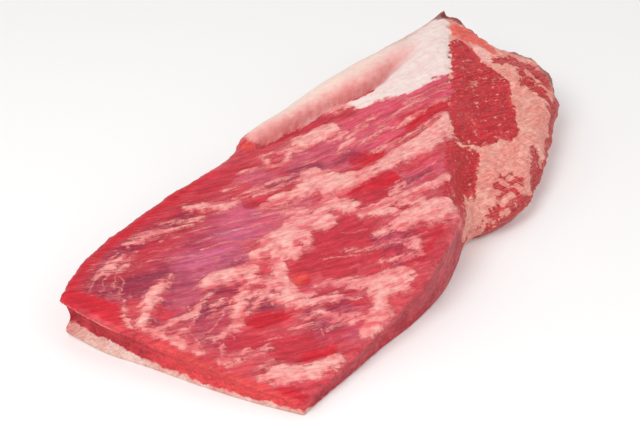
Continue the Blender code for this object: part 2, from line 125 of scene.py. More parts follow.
# What lies on the upper face and the end cut, as it shows in the photograph: strokes of
# (half width, points along the middle line), placed in the photograph's pixels
STROKES = {
    # Raised patches and streaks of fat
    "fat": [
        (4.5, (187, 208), (205, 205), (222, 206)), (3, (222, 207), (240, 200)),
        (1.4, (159, 222), (185, 220)), (1.2, (185, 221), (205, 217)),
        (3, (134, 241), (150, 234), (170, 229)), (1.4, (170, 229), (190, 226)),
        (1.6, (126, 244), (140, 241)), (3, (104, 271), (112, 263), (124, 256)),
        (1.5, (96, 279), (106, 271), (116, 268)), (1.5, (110, 262), (120, 268), (128, 262)),
        (1.3, (88, 284), (98, 278)), (1.3, (112, 285), (119, 292), (121, 300)),
        (1.2, (124, 256), (134, 254)), (6.5, (162, 288), (152, 300), (147, 312)),
        (3, (171, 277), (163, 287)), (4.5, (147, 312), (142, 328)), (2.5, (124, 318), (132, 328)),
        (1.6, (126, 300), (124, 318)), (3, (142, 330), (152, 336), (160, 334)),
        (2.4, (155, 334), (174, 322), (190, 314), (212, 296)), (6.5, (158, 337), (172, 341), (184, 347)),
        (2.2, (186, 345), (189, 330), (197, 310), (210, 298)), (4, (168, 340), (185, 330)),
        (4.2, (195, 344), (199, 357)), (2.4, (203, 342), (215, 336)),
        (8, (205, 287), (218, 279), (234, 276)), (7, (234, 276), (250, 272)),
        (6, (245, 290), (240, 310), (233, 330)), (3, (247, 300), (258, 295)), (4, (228, 332), (214, 340)),
        (3, (221, 343), (222, 366)), (2.6, (237, 322), (248, 312), (262, 300)),
        (2, (212, 318), (226, 312), (236, 306)), (6, (253, 262), (265, 252), (272, 246)),
        (11, (272, 245), (300, 226), (322, 221)), (9, (275, 240), (292, 254)), (8, (303, 228), (306, 246)),
        (9, (277, 254), (281, 278), (290, 303)), (6, (252, 282), (275, 285), (290, 292)),
        (4, (264, 296), (282, 300)), (5.5, (296, 305), (318, 302), (340, 296)),
        (5.5, (319, 316), (334, 318)), (4, (300, 297), (312, 294)),
        (6.5, (262, 380), (280, 371), (300, 372), (318, 370), (340, 359)),
        (4.5, (272, 379), (300, 378), (318, 376)), (2.2, (258, 368), (272, 362)),
        (1.8, (222, 364), (246, 357), (270, 351)), (1.4, (228, 357), (250, 350)),
        (2, (262, 350), (268, 345)), (9.5, (310, 186), (336, 183), (356, 178)),
        (8, (312, 176), (330, 176)), (7, (330, 200), (350, 206)), (5, (276, 198), (296, 194), (315, 190)),
        (3, (262, 208), (285, 203)), (3.5, (285, 212), (312, 208)), (6, (318, 212), (326, 205)),
        (10, (455, 122), (440, 133), (424, 144)), (9.5, (424, 144), (406, 153), (389, 164)),
        (7, (389, 164), (374, 171), (356, 178)), (4, (446, 116), (458, 112)),
        (4, (362, 214), (384, 210), (406, 212)), (3, (366, 209), (384, 204)),
        (4, (384, 202), (412, 192), (434, 184)), (4, (436, 182), (448, 176)),
        (2.5, (392, 190), (404, 184)), (7.5, (406, 218), (425, 210), (450, 206)),
        (7.5, (430, 216), (452, 214)), (5, (398, 224), (412, 222)), (3, (376, 232), (398, 228)),
        (4, (404, 202), (420, 200)), (1.4, (344, 250), (361, 249), (387, 246), (407, 244)),
        (4.5, (414, 241), (418, 252)), (2.5, (406, 246), (414, 252)), (3.5, (382, 262), (394, 260)),
        (1.8, (395, 258), (424, 257)), (7.5, (356, 283), (380, 280), (406, 276)),
        (9, (376, 292), (400, 288)), (7.5, (378, 304), (384, 316), (370, 329)),
        (7, (388, 292), (380, 306), (373, 320)), (3.5, (318, 286), (345, 281), (360, 279)),
        (2.2, (360, 300), (330, 298)), (2.4, (362, 318), (345, 316)), (4, (366, 322), (364, 334)),
        (3, (350, 326), (362, 322)), (4, (300, 120), (322, 112), (345, 106), (372, 101), (390, 97)),
        (5, (322, 112), (335, 108)), (7.5, (298, 143), (312, 138), (328, 131)),
        (4, (292, 151), (302, 148)), (2.2, (262, 158), (268, 166), (280, 165), (287, 158), (292, 150)),
        (2, (263, 158), (275, 154), (285, 153)), (2.5, (330, 141), (345, 134)),
        (2, (348, 138), (366, 126)), (2.2, (340, 148), (352, 142)), (1.8, (356, 128), (372, 118)),
        (1.5, (226, 190), (246, 182)), (1.5, (232, 198), (262, 186)), (1.8, (255, 195), (285, 184)),
        (1.6, (268, 182), (292, 176)), (1.4, (240, 172), (258, 168)),
        (1.6, (395, 130), (420, 112), (446, 98)), (1.8, (400, 142), (425, 124), (448, 112)),
        (1.4, (378, 128), (400, 112), (430, 96)), (2.2, (380, 150), (396, 140)),
        (1.3, (404, 104), (428, 90), (448, 80)), (1.4, (366, 142), (388, 128)),
        (1.6, (372, 152), (384, 144)), (1.4, (432, 104), (450, 96)), (2, (225, 300), (214, 308)),
        (1.6, (290, 330), (310, 326)), (1.8, (330, 330), (348, 322)), (1.6, (300, 322), (316, 320)),
    ],
    # Thin film of fat round the patches
    "haze": [
        (14, (208, 278), (240, 262), (262, 240)), (12, (240, 285), (260, 290)),
        (8, (232, 318), (220, 350)), (12, (160, 330), (200, 330)), (12, (108, 265), (124, 262)),
        (9, (100, 290), (118, 300)), (12, (340, 180), (400, 180), (430, 190)), (9, (290, 196), (325, 205)),
        (8, (440, 150), (448, 190)), (9, (330, 140), (360, 132)), (6, (196, 200), (230, 200)),
        (10, (340, 300), (360, 310)), (7, (270, 356), (320, 366)), (9, (380, 212), (420, 222)),
        (7, (260, 170), (300, 160)), (5, (392, 262), (415, 256)), (6, (296, 330), (330, 322)),
        (7, (345, 206), (365, 214)), (7, (275, 225), (300, 215)),
    ],
    # White fat beside the rolled edge
    "white": [
        (7, (374, 84), (392, 72), (402, 60)), (7, (385, 80), (398, 75), (410, 70)),
        (14, (405, 45), (440, 22)), (16, (420, 60), (446, 40)), (10, (390, 90), (420, 74), (446, 62)),
        (5, (360, 104), (395, 90)), (12, (300, 102), (360, 70), (398, 55)),
    ],
    # Membrane over the lean
    "skin": [
        (30, (150, 270), (190, 268)), (22, (170, 245), (240, 222)), (22, (200, 280), (225, 262)),
        (16, (180, 300), (210, 318)), (10, (205, 335), (235, 345)), (9, (262, 303), (285, 297)),
        (16, (265, 228), (300, 214)), (12, (300, 160), (345, 140)), (10, (300, 175), (325, 162)),
        (13, (355, 130), (400, 105), (448, 82)), (9, (345, 160), (380, 140), (430, 112)),
        (8, (320, 292), (355, 290)), (10, (350, 310), (330, 320)), (9, (400, 250), (390, 240), (370, 240)),
        (14, (110, 290), (125, 280)), (6, (150, 222), (185, 214)), (11, (92, 286), (104, 262)),
        (8, (240, 175), (275, 180)), (8, (395, 186), (441, 166)), (12, (318, 318), (352, 330)),
        (7, (312, 340), (340, 335)),
    ],
    # Windows of bare lean
    "bare": [
        (14, (330, 238), (360, 236)), (11, (305, 262), (345, 256)), (5, (325, 222), (360, 222)),
        (6, (355, 252), (382, 256)), (5, (330, 270), (352, 272)), (9, (358, 199), (388, 187)),
        (5, (352, 190), (380, 184), (392, 178)), (4, (385, 210), (420, 205)), (4, (396, 264), (420, 262)),
        (4, (386, 251), (414, 251)), (5, (322, 292), (352, 290)), (5, (335, 305), (362, 303)),
        (6, (255, 322), (280, 316)), (9, (225, 346), (258, 342)), (11, (275, 347), (308, 345)),
        (6, (300, 356), (322, 354)), (6, (268, 142), (300, 128), (318, 120)), (4, (348, 172), (380, 166)),
        (4, (356, 160), (376, 154)), (2.5, (326, 122), (352, 113)),
        (6, (130, 250), (170, 222), (200, 200)), (7, (205, 188), (240, 168)), (5, (415, 122), (446, 106)),
        (4, (395, 140), (418, 128)), (4, (250, 205), (275, 196)), (5, (420, 236), (440, 232)),
    ],
    # Bright red lean, and the bright edges of the upper face
    "bright": [
        (3, (450, 118), (449, 150), (446, 198)), (2, (452, 204), (440, 232), (424, 258)),
        (2.4, (64, 293), (79, 275), (99, 254), (124, 233)), (8, (68, 297), (95, 306), (120, 318)),
        (2.2, (124, 233), (149, 215), (180, 195), (215, 172)), (8, (300, 281), (302, 276)),
        (6, (352, 188), (392, 180)), (6, (356, 158), (376, 156)), (5, (350, 172), (382, 164)),
        (8, (410, 122), (448, 104)), (6, (255, 322), (282, 315)), (8, (283, 395), (297, 398)),
        (4, (244, 148), (250, 148)), (5, (425, 252), (418, 262)), (6, (330, 350), (305, 358)),
    ],
    # Dark lean on the slanting end cut
    "cut": [
        (9, (462, 48), (472, 62)), (17, (464, 66), (488, 84), (492, 106)), (14, (470, 100), (496, 122)),
        (8, (459, 112), (462, 134), (486, 134)), (11, (461, 152), (462, 176)),
        (10, (472, 156), (466, 190)), (8, (459, 192), (456, 212)), (8, (456, 214), (444, 240)),
        (9, (460, 60), (461, 84)), (9, (459, 84), (461, 112)), (8, (454, 150), (456, 205)),
    ],
    # Lean that shows through the fat of the end cut
    "mottle": [
        (4, (500, 60), (530, 66), (548, 84)), (4, (526, 82), (540, 92)), (3, (512, 58), (524, 70)),
        (5, (535, 150), (535, 180)), (6, (517, 176), (522, 196)),
        (3.5, (480, 222), (510, 214), (528, 200)), (4, (500, 196), (516, 206)),
        (2.5, (548, 96), (552, 110)), (4, (478, 230), (496, 226)), (5, (500, 186), (520, 200)),
        (4, (490, 214), (508, 203)), (2.5, (502, 174), (514, 184)), (2.5, (522, 74), (534, 80)),
    ],
    # Orange-red spots
    "orange": [
        (6, (462, 33), (474, 38)), (4, (478, 42), (490, 50)), (6, (296, 282), (302, 275)),
        (3.5, (244, 148), (249, 148)), (1, (480, 86), (506, 120)),
    ],
    # Strands of fat across the end cut
    "strand": [
        (1.3, (459, 143), (474, 146), (490, 149)), (1.2, (514, 140), (516, 160), (520, 186)),
        (1.4, (524, 138), (527, 160), (530, 186)), (0.9, (519, 146), (519, 176)),
        (1.2, (500, 204), (520, 190), (530, 184)), (2, (482, 150), (494, 145)),
    ],
    # A pale spot of fat high on the end cut
    "spot": [
        (4, (480, 50), (491, 60)),
    ],
    # Brown rim of the thick end
    "rim": [
        (1.8, (446, 15), (470, 27), (495, 40), (520, 53)), (1.4, (520, 53), (540, 61), (552, 80)),
    ],
    # Brown spot at the far corner
    "nub": [
        (3.5, (436, 16), (444, 14)),
    ],
    # Darker, purple membrane, and painted shadow under flakes of fat
    "purple": [
        (5, (210, 296), (236, 292)), (6, (194, 312), (222, 308)), (4, (150, 322), (160, 326)),
        (5, (250, 306), (280, 300)), (7, (138, 294), (165, 272)), (7, (108, 292), (126, 298)),
        (4, (378, 236), (408, 234)), (4, (385, 250), (414, 248)), (3.5, (395, 262), (420, 256)),
        (4, (270, 182), (300, 176)), (4, (292, 170), (318, 163)), (5, (330, 312), (346, 300)),
        (4, (334, 330), (350, 312)), (3, (300, 212), (330, 207)), (4, (398, 186), (430, 172)),
        (8, (94, 286), (110, 262), (122, 250)), (6, (128, 246), (160, 228), (188, 214)),
        (9, (120, 288), (150, 280)), (4, (340, 160), (356, 152)),
    ],
    # Red band that the fat leaves free along the thin end
    "front": [
        (5, (104, 326), (134, 336), (156, 343), (184, 356), (218, 371), (260, 388), (292, 402)),
    ],
    # Palest, most uneven fat
    "cream": [
        (8, (456, 122), (440, 133), (424, 144), (406, 153), (388, 165)), (6, (300, 141), (328, 130)),
        (7, (312, 182), (345, 180)), (6, (272, 250), (286, 238)), (5, (270, 373), (300, 371), (330, 365)),
        (4, (160, 292), (150, 308)), (4, (205, 283), (228, 278)), (5, (430, 208), (448, 205)),
        (3, (230, 328), (238, 306)), (4, (410, 282), (380, 284)), (3, (188, 206), (206, 205)),
        (4, (385, 284), (378, 310)), (5, (285, 268), (290, 296)), (5, (355, 106), (395, 90)),
    ],
    # Fine threads of fat
    "lace": [
        (0.6, (90, 293), (96, 273), (107, 260), (120, 252)),
        (0.5, (97, 273), (111, 265), (124, 258), (130, 261)), (0.5, (113, 290), (115, 276), (124, 263)),
        (0.5, (105, 292), (103, 280), (116, 267)), (0.5, (122, 292), (124, 280), (116, 273), (130, 257)),
        (0.7, (130, 240), (147, 234), (172, 230)), (0.6, (155, 223), (174, 219), (204, 221)),
        (0.7, (187, 303), (193, 315), (189, 332), (199, 342)),
        (0.8, (212, 296), (199, 307), (191, 313), (174, 322), (157, 332)),
        (0.8, (243, 290), (231, 303), (222, 319), (208, 334)),
        (0.8, (250, 292), (243, 307), (243, 322), (224, 334)), (0.7, (218, 342), (220, 353), (224, 364)),
        (0.6, (228, 361), (247, 357), (270, 351)), (0.6, (321, 330), (325, 338)),
        (0.7, (317, 315), (340, 322)), (0.6, (232, 188), (255, 178)),
        (0.6, (240, 199), (262, 190), (284, 186)), (0.8, (345, 251), (376, 248), (408, 244)),
        (0.7, (352, 146), (376, 134), (396, 126)), (0.8, (398, 128), (424, 110), (448, 98)),
        (0.6, (372, 128), (398, 112), (430, 98)), (0.6, (382, 122), (412, 103), (446, 88)),
        (0.7, (388, 150), (408, 139), (440, 120)), (0.6, (300, 166), (326, 154), (350, 150)),
        (0.6, (290, 182), (318, 170), (340, 168)), (0.7, (206, 238), (240, 230), (280, 222)),
        (0.7, (200, 250), (232, 243), (264, 238)), (0.7, (210, 228), (250, 219), (284, 210)),
        (0.6, (196, 262), (226, 256), (250, 250)), (0.6, (306, 214), (330, 210), (352, 208)),
        (0.7, (398, 190), (420, 180), (442, 168)), (0.6, (394, 183), (416, 173), (438, 162)),
        (0.7, (402, 197), (424, 187), (444, 178)), (0.6, (376, 236), (400, 232), (424, 226)),
        (0.6, (388, 243), (412, 238), (428, 232)), (0.5, (150, 252), (190, 244), (226, 236)),
        (0.5, (140, 262), (176, 258), (206, 254)), (0.5, (160, 240), (196, 231), (228, 224)),
        (0.6, (252, 214), (276, 208), (300, 203)), (0.5, (240, 218), (262, 213)),
        (0.4, (324, 258), (352, 254), (372, 252)), (0.4, (340, 232), (366, 229)),
        (0.4, (262, 340), (284, 338), (300, 334)), (0.5, (222, 330), (236, 338)),
    ],
}

# Mesh density
CELLS_ALONG, CELLS_ACROSS = 430, 200
TOP_ROUND_RINGS, SIDE_RINGS, BOTTOM_ROUND_RINGS = 5, 16, 4
CORNER_REACH = 8
LAYER_GAP = 0.1
LAYER_CELLS_ALONG, LAYER_CELLS_ACROSS = 46, 20
LIP_CELLS = 4

# About half the meat's length and its two edges in y, and the reach of the cutters beyond them
HALF_LENGTH = 262
NEAR_EDGE_Y, FAR_EDGE_Y = -125, 130
CUTTER_NEAR_Y = -130
CUTTER_FLOOR, CUTTER_LID = -120, 130
CUTTER_OVERLAP = 2
FAR_OUT = 60
LIP_CLEARANCE = 20


def smooth_curve(at, stations):
    """Value at each place of a smooth curve through (place, value) stations, flat beyond the ends."""
    xs, ys = np.array(stations, float).T
    steps = np.diff(ys) / np.diff(xs)
    both = np.abs(steps[:-1] + steps[1:]) + 1e-9
    turns = steps[:-1] * steps[1:] <= 0
    inner = np.where(turns, 0, 2 * np.abs(steps[:-1] * steps[1:]) / both * np.sign(steps[1:]))
    slopes = np.concatenate([steps[:1], inner, steps[-1:]])
    at = np.clip(np.asarray(at, float), xs[0], xs[-1])
    k = np.clip(np.searchsorted(xs, at) - 1, 0, len(xs) - 2)
    width = xs[k + 1] - xs[k]
    t = (at - xs[k]) / width
    return (
        ys[k] * (2 * t**3 - 3 * t**2 + 1)
        + ys[k + 1] * (3 * t**2 - 2 * t**3)
        + slopes[k] * width * (t**3 - 2 * t**2 + t)
        + slopes[k + 1] * width * (t**3 - t**2)
    )


def smooth_step(value, start, end):
    t = np.clip((value - start) / (end - start), 0, 1)
    return t * t * (3 - 2 * t)


def spline_points(corners, count):
    """Points evenly spaced along a Catmull-Rom curve through the corners, its ends included."""
    c = np.array(corners, float)
    c = np.vstack([2 * c[0] - c[1], c, 2 * c[-1] - c[-2]])
    t = np.linspace(0, 1, 24, endpoint=False)[:, None]
    pieces = []
    for p0, p1, p2, p3 in zip(c, c[1:], c[2:], c[3:]):
        pieces.append(
            0.5 * (2 * p1 + (p2 - p0) * t + (2 * p0 - 5 * p1 + 4 * p2 - p3) * t**2
                   + (3 * p1 - p0 - 3 * p2 + p3) * t**3)
        )
    line = np.vstack([*pieces, c[-2]])
    along = np.concatenate([[0], np.cumsum(np.linalg.norm(np.diff(line, axis=0), axis=1))])
    even = np.linspace(0, along[-1], count)
    return np.stack([np.interp(even, along, line[:, k]) for k in (0, 1)], axis=1)


def lattice_value(ix, iy, iz, seed):
    """A repeatable random number from -1 to 1 for each lattice point."""
    mixed = (ix * 374761393 + iy * 668265263 + iz * 2147483647 + seed * 1274126177) & 0xFFFFFFFF
    mixed = ((mixed ^ (mixed >> 13)) * 1274126177) & 0xFFFFFFFF
    return ((mixed ^ (mixed >> 16)) & 0xFFFF) / 32767.5 - 1


def value_noise(x, y, z, seed):
    """Smooth noise from -1 to 1 with a wavelength of about 2 units."""
    cell = [np.floor(c).astype(np.int64) for c in (x, y, z)]
    part = [c - f for c, f in zip((x, y, z), cell)]
    ease = [p * p * (3 - 2 * p) for p in part]
    total = 0
    for corner in range(8):
        bits = [(corner >> k) & 1 for k in range(3)]
        weight = 1
        for e, b in zip(ease, bits):
            weight = weight * (e if b else 1 - e)
        total = total + weight * lattice_value(*[c + b for c, b in zip(cell, bits)], seed)
    return total


ROLL_SIDE_LINE = spline_points(ROLL_SIDE, 200)


def left_outline_y(x):
    """The outline's y on the roll side at each x."""
    return np.interp(x, ROLL_SIDE_LINE[:, 0], ROLL_SIDE_LINE[:, 1])


def end_cut_place(x, y):
    """(distance along, distance past) the line where the slanting end face starts."""
    start, end = np.array(END_CUT_FROM, float), np.array(END_CUT_TO, float)
    line = (end - start) / np.linalg.norm(end - start)
    dx, dy = x - start[0], y - start[1]
    return dx * line[0] + dy * line[1], dx * line[1] - dy * line[0]


def roll_share(x):
    """1 where the fat roll is full, 0 where there is none."""
    return smooth_step(x, ROLL_START, ROLL_START + 18) * (1 - smooth_step(x, ROLL_END - 50, ROLL_END + 25))


def lean_face(x, y):
    """Height of the upper face over the plan, without the roll of fat, the edge rounding and the relief."""
    across = np.clip((y - CUT_SIDE_Y) / (ROLL_SIDE_Y - CUT_SIDE_Y), 0, 1)
    low, high = smooth_curve(x, CUT_SIDE_HEIGHT), smooth_curve(x, ROLL_SIDE_HEIGHT)
    z = low + (high - low) * across + smooth_curve(x, CROWN) * 4 * across * (1 - across)
    along, past = end_cut_place(x, y)
    gentle = smooth_step(along, STEEP_UNTIL, GENTLE_FROM)
    z = z - smooth_curve(past, STEEP_DROP) * (1 - gentle) - smooth_curve(past, GENTLE_DROP) * gentle
    swell = POINT_SWELL
    far = ((x - swell["at"][0]) ** 2 + (y - swell["at"][1]) ** 2) / swell["radius"] ** 2
    return z + swell["height"] * np.exp(-far)


def crease_share(x, y):
    """1 along the bottom of the crease under the fat roll."""
    inward = left_outline_y(x) - y
    half = smooth_curve(x, ROLL_WIDTH) / 2
    return np.exp(-(((inward - 2 * half - 1) / CREASE_WIDTH) ** 2)) * roll_share(x)


def upper_face(x, y):
    """Height of the upper face with the rolled edge of the fat cap and the crease along it."""
    inward = left_outline_y(x) - y
    half = smooth_curve(x, ROLL_WIDTH) / 2
    ridge = np.sqrt(np.clip(1 - ((inward - half) / half) ** 2, 0, 1))
    return lean_face(x, y) + roll_share(x) * ROLL_HEIGHT * ridge - CREASE_DEPTH * crease_share(x, y)


def grain_place(x, y):
    """(along, across) the muscle's grain, whose direction turns along the length."""
    xs = np.linspace(-280, 280, 113)
    turn = np.radians(smooth_curve(xs, GRAIN_TURN))
    rise = np.concatenate([[0], np.cumsum(np.tan((turn[1:] + turn[:-1]) / 2) * np.diff(xs))])
    return x, y - np.interp(x, xs, rise)


def broad_relief(x, y, z):
    """The part's own relief: broad swells, bundles along the grain and the larger patches."""
    along, across = grain_place(x, y)
    patches = 0
    for at_x, at_y, length, width, turn, height in PATCHES:
        c, s = math.cos(math.radians(turn)), math.sin(math.radians(turn))
        dx, dy = x - at_x, y - at_y
        out = ((dx * c + dy * s) / length) ** 2 + ((dy * c - dx * s) / width) ** 2
        patches = patches + height * (1 - smooth_step(out, 0.4, 1.8))
    patches = patches * smooth_step(z, 12, 20)
    swells = 1.6 * value_noise(x / 42, y / 36, z / 36, SEED)
    bundles = 0.9 * value_noise(along / 34, across / 9, z / 20, SEED + 1)
    lumps = 0.7 * value_noise(x / 17, y / 15, z / 12, SEED + 2)
    return swells + bundles + lumps + patches


def side_lines():
    """Evenly spaced points along the outline's four sides, each of them along +X or +Y."""
    along, across = CELLS_ALONG + 1, CELLS_ACROSS + 1
    sides = ((CUT_SIDE, along), (THICK_END, across), (ROLL_SIDE, along), (THIN_END, across))
    return [spline_points(corners, count) for corners, count in sides]


def as_loop(cut, thick, roll, thin):
    """Values along the four sides as one loop, counterclockwise from the thin end on the cut side."""
    return np.concatenate([cut[:-1], thick[:-1], roll[::-1][:-1], thin[::-1][:-1]])


def edge_values(table):
    """One number for each boundary point, in the order of boundary_loop."""
    places = [line[:, axis] for line, axis in zip(side_lines(), (0, 1, 0, 1))]
    names = ("cut_side", "thick_end", "roll_side", "thin_end")
    return as_loop(*[smooth_curve(place, table[name]) for place, name in zip(places, names)])


def boundary_loop():
    """The outline as one loop of points."""
    return as_loop(*side_lines())


def inward_normals(loop):
    """Inward directions, turned gradually round each corner so that an inset never folds."""
    spacing = np.linalg.norm(np.roll(loop, -1, axis=0) - loop, axis=1).mean()
    reach = max(1, int(round(CORNER_REACH / spacing)))
    tangent = np.roll(loop, -reach, axis=0) - np.roll(loop, reach, axis=0)
    tangent /= np.linalg.norm(tangent, axis=1)[:, None]
    return np.stack([-tangent[:, 1], tangent[:, 0]], axis=1)


def grid_border(n, m):
    """(i, j) of the grid points round the edge of an n by m grid of cells, in the order of boundary_loop."""
    return (
        [(i, 0) for i in range(n)]
        + [(n, j) for j in range(m)]
        + [(i, m) for i in range(n, 0, -1)]
        + [(0, j) for j in range(m, 0, -1)]
    )


def grid_faces(n, m):
    """Quads of an n by m grid of cells whose points are numbered row by row, facing +Z."""
    return [
        [i * (m + 1) + j, (i + 1) * (m + 1) + j, (i + 1) * (m + 1) + j + 1, i * (m + 1) + j + 1]
        for i in range(n)
        for j in range(m)
    ]


def band_faces(upper, lower):
    """Quads between two counterclockwise loops of point numbers, facing outwards."""
    return [
        [upper[k], lower[k], lower[(k + 1) % len(upper)], upper[(k + 1) % len(upper)]]
        for k in range(len(upper))
    ]


def side_rings(loop, top_z):
    """Rings of points from just below the upper face's edge down to the bottom face's edge."""
    inward = inward_normals(loop)
    top_in, bottom_in = edge_values(TOP_ROUND), edge_values(BOTTOM_ROUND)
    top_down = np.minimum(top_in, top_z * MOST_ROUND_SHARE)
    bottom_up = np.minimum(bottom_in, top_z * MOST_ROUND_SHARE)
    hollow = edge_values(SIDE_HOLLOW)
    rings = []
    for k in range(1, TOP_ROUND_RINGS + 1):
        angle = math.pi / 2 * k / TOP_ROUND_RINGS
        inset, z = top_in * (1 - math.sin(angle)), top_z - top_down * (1 - math.cos(angle))
        rings.append((inset, z))
    for k in range(1, SIDE_RINGS):
        share = k / SIDE_RINGS
        z = (top_z - top_down) * (1 - share) + bottom_up * share
        rings.append((hollow * 4 * share * (1 - share), z))
    for k in range(0, BOTTOM_ROUND_RINGS):
        angle = math.pi / 2 * k / BOTTOM_ROUND_RINGS
        inset, z = bottom_in * (1 - math.cos(angle)), bottom_up * (1 - math.sin(angle))
        rings.append((inset, z))
    return [np.column_stack([loop + inward * inset[:, None], z]) for inset, z in rings]


def brisket_surface():
    """(points, faces) of the whole brisket's closed outer surface, in millimetres."""
    loop = boundary_loop()
    inward = inward_normals(loop)
    n, m = CELLS_ALONG, CELLS_ACROSS
    border = grid_border(n, m)
    top_plan = coons(loop + inward * edge_values(TOP_ROUND)[:, None], n, m)
    top = np.dstack([top_plan, upper_face(top_plan[..., 0], top_plan[..., 1])])
    rings = side_rings(loop, np.array([top[i, j, 2] for i, j in border]))
    rest = np.column_stack([loop + inward * edge_values(BOTTOM_ROUND)[:, None], 0 * loop[:, 0]])
    blocks = [top.reshape(-1, 3), *rings, rest]
    starts = np.cumsum([0] + [len(b) for b in blocks])
    faces = grid_faces(n, m)
    loops = [[i * (m + 1) + j for i, j in border]]
    loops += [list(range(starts[k], starts[k + 1])) for k in range(1, len(blocks))]
    for upper, lower in zip(loops, loops[1:]):
        faces += band_faces(upper, lower)
    faces.append(loops[-1][::-1])
    return np.vstack(blocks), faces


def split_quads(faces):
    """Each quad as two triangles along its first diagonal, so that every cut stays flat."""
    split = []
    for face in faces:
        split += [[face[0], face[1], face[2]], [face[0], face[2], face[3]]] if len(face) == 4 else [face]
    return split


def mesh_object(name, points, faces):
    mesh = bpy.data.meshes.new(name)
    faces = [list(map(int, face)) for face in split_quads(faces)]
    mesh.from_pydata((np.asarray(points) * MM).tolist(), [], faces)
    mesh.validate()
    obj = bpy.data.objects.new(name, mesh)
    bpy.context.scene.collection.objects.link(obj)
    return obj


def cap_top(x, y):
    """Height of the fat cap's upper side, which the lean rests on."""
    return smooth_curve(y, CAP_ACROSS) + CAP_EXTRA_AT_THICK_END * smooth_step(x, -60, 160)


def seam_top(x, y):
    """Height of the upper side of the fat seam. It dives under the cap's upper side before its start."""
    return smooth_curve(x, SEAM_TOP) + 0 * y


def seam_bottom(x, y):
    return seam_top(x, y) - smooth_curve(x, SEAM_THICKNESS)


def layer_grid():
    """Plan points shared by all layer surfaces, as x[along, across] and y, with y as far as the fat wall."""
    x = np.linspace(-HALF_LENGTH - FAR_OUT, HALF_LENGTH + FAR_OUT, LAYER_CELLS_ALONG + 1)[:, None]
    across = np.linspace(0, 1, LAYER_CELLS_ACROSS + 1)[None, :]
    near = CUTTER_NEAR_Y - FAR_OUT
    return x + 0 * across, near + (wall_y(x) - near) * across


def has_wall(x):
    return smooth_step(x, ROLL_START, ROLL_START + 14)


def wall_y(x):
    """The lean's limit on the roll side: inside the fat wall, and clear of the meat where there is none."""
    return left_outline_y(x) + FAR_OUT - (smooth_curve(x, ROLL_WALL) + FAR_OUT) * has_wall(x)


def cutter_object(name, points, faces):
    """A hidden mesh that cuts a layer out of the meat."""
    cutter = mesh_object(name, points, faces)
    cutter.hide_render = True
    cutter.display_type = "WIRE"
    return cutter


def closed_block(name, low, high):
    """A closed block between two grids of points [along, across, xyz]."""
    n, m = low.shape[0] - 1, low.shape[1] - 1
    below = len(high.reshape(-1, 3))
    faces = grid_faces(n, m)
    faces += [[below + q for q in reversed(face)] for face in grid_faces(n, m)]
    ring = [i * (m + 1) + j for i, j in grid_border(n, m)]
    faces += band_faces(ring, [below + q for q in ring])
    return cutter_object(name, np.vstack([high.reshape(-1, 3), low.reshape(-1, 3)]), faces)


def cutter_floor(x, y):
    return CUTTER_FLOOR + 0 * x


def height_block(name, low, high):
    """A closed block between two height functions over the shared plan points, reaching past the wall."""
    x, y = layer_grid()
    y[:, -1] += CUTTER_OVERLAP
    return closed_block(name, np.dstack([x, y, low(x, y)]), np.dstack([x, y, high(x, y)]))


def lean_block(name, gap):
    """The space inside the fat cap, less a gap: above its upper side, inside its wall and under its lip."""
    x, y = layer_grid()
    low = np.dstack([x, y, cap_top(x, y) + gap])
    low[:, -1, 1] -= gap
    xs, wall = x[:, 0], y[:, -1]
    lid = CUTTER_LID + 0 * xs
    walled = has_wall(xs)
    clear_y = left_outline_y(xs) + FAR_OUT - LIP_CLEARANCE
    edge_y = clear_y - (smooth_curve(xs, LIP_WIDTH) + FAR_OUT - LIP_CLEARANCE) * walled
    rows = [(0 * xs + CUTTER_NEAR_Y - FAR_OUT, lid), (edge_y - CUTTER_OVERLAP - gap, lid)]
    for share in np.linspace(0, 1, LIP_CELLS + 1):
        row_y = edge_y + (wall - edge_y) * share
        under = lean_face(xs, row_y) - LIP_THICKNESS
        back = gap * (share in (0, 1))
        rows.append((row_y - back, lid + (under - lid) * walled - gap))
    high = np.stack([np.stack([xs, row_y, row_z], axis=1) for row_y, row_z in rows], axis=1)
    return walled_block(name, low, high)


def walled_block(name, low, high):
    """A closed block from lofted sections: floor points across, then the lid's points back again."""
    stations = len(low)
    sections = [np.vstack([low[i], high[i][::-1]]) for i in range(stations)]
    size = len(sections[0])
    faces = []
    for i in range(stations - 1):
        here, there = i * size, (i + 1) * size
        for k in range(size):
            after = (k + 1) % size
            faces.append([here + k, here + after, there + after, there + k])
    faces.append(list(range(size))[::-1])
    faces.append([(stations - 1) * size + k for k in range(size)])
    return cutter_object(name, np.vstack(sections), faces)


# Colours, as 0-255 sRGB
COLOURS = {
    "lean": (202, 60, 74), "lean_pale": (222, 92, 100), "lean_dark": (194, 50, 64),
    "lean_cut": (191, 41, 51), "lean_side": (178, 52, 64), "lean_front": (218, 66, 74),
    "lean_front_dark": (170, 32, 45), "lean_point": (184, 72, 72), "bright_red": (204, 32, 48),
    "orange_red": (232, 84, 74), "skin_purple": (144, 42, 68), "skin_lilac": (210, 104, 142),
    "skin_pink": (208, 88, 112), "skin_magenta": (226, 80, 108), "fat_peach": (237, 138, 136),
    "fat_cream": (250, 190, 180), "fat_salmon": (222, 100, 106), "fat_white": (244, 228, 222),
    "fat_roll": (248, 222, 210), "fat_seam": (232, 148, 136), "fat_seam_pale": (242, 182, 166),
    "fat_cap": (228, 190, 178), "fat_cap_stain": (216, 144, 132), "rim_brown": (132, 54, 52),
    "fleck": (226, 126, 122),
}

PLAN_MIDDLE = (2.4, 3.8)
FIRST_GUESS_HEIGHT = 45.0
GUESSES, GUESS_STEP = 60, 0.3
FIELD_REACH = 8
FAT_LIFT = 1.3
LIP_RISE = 1.2
GROOVE_DEPTH = 0.9
END_RIDGE_TRIM = 1.8
CREASE_TRIM = 1.6

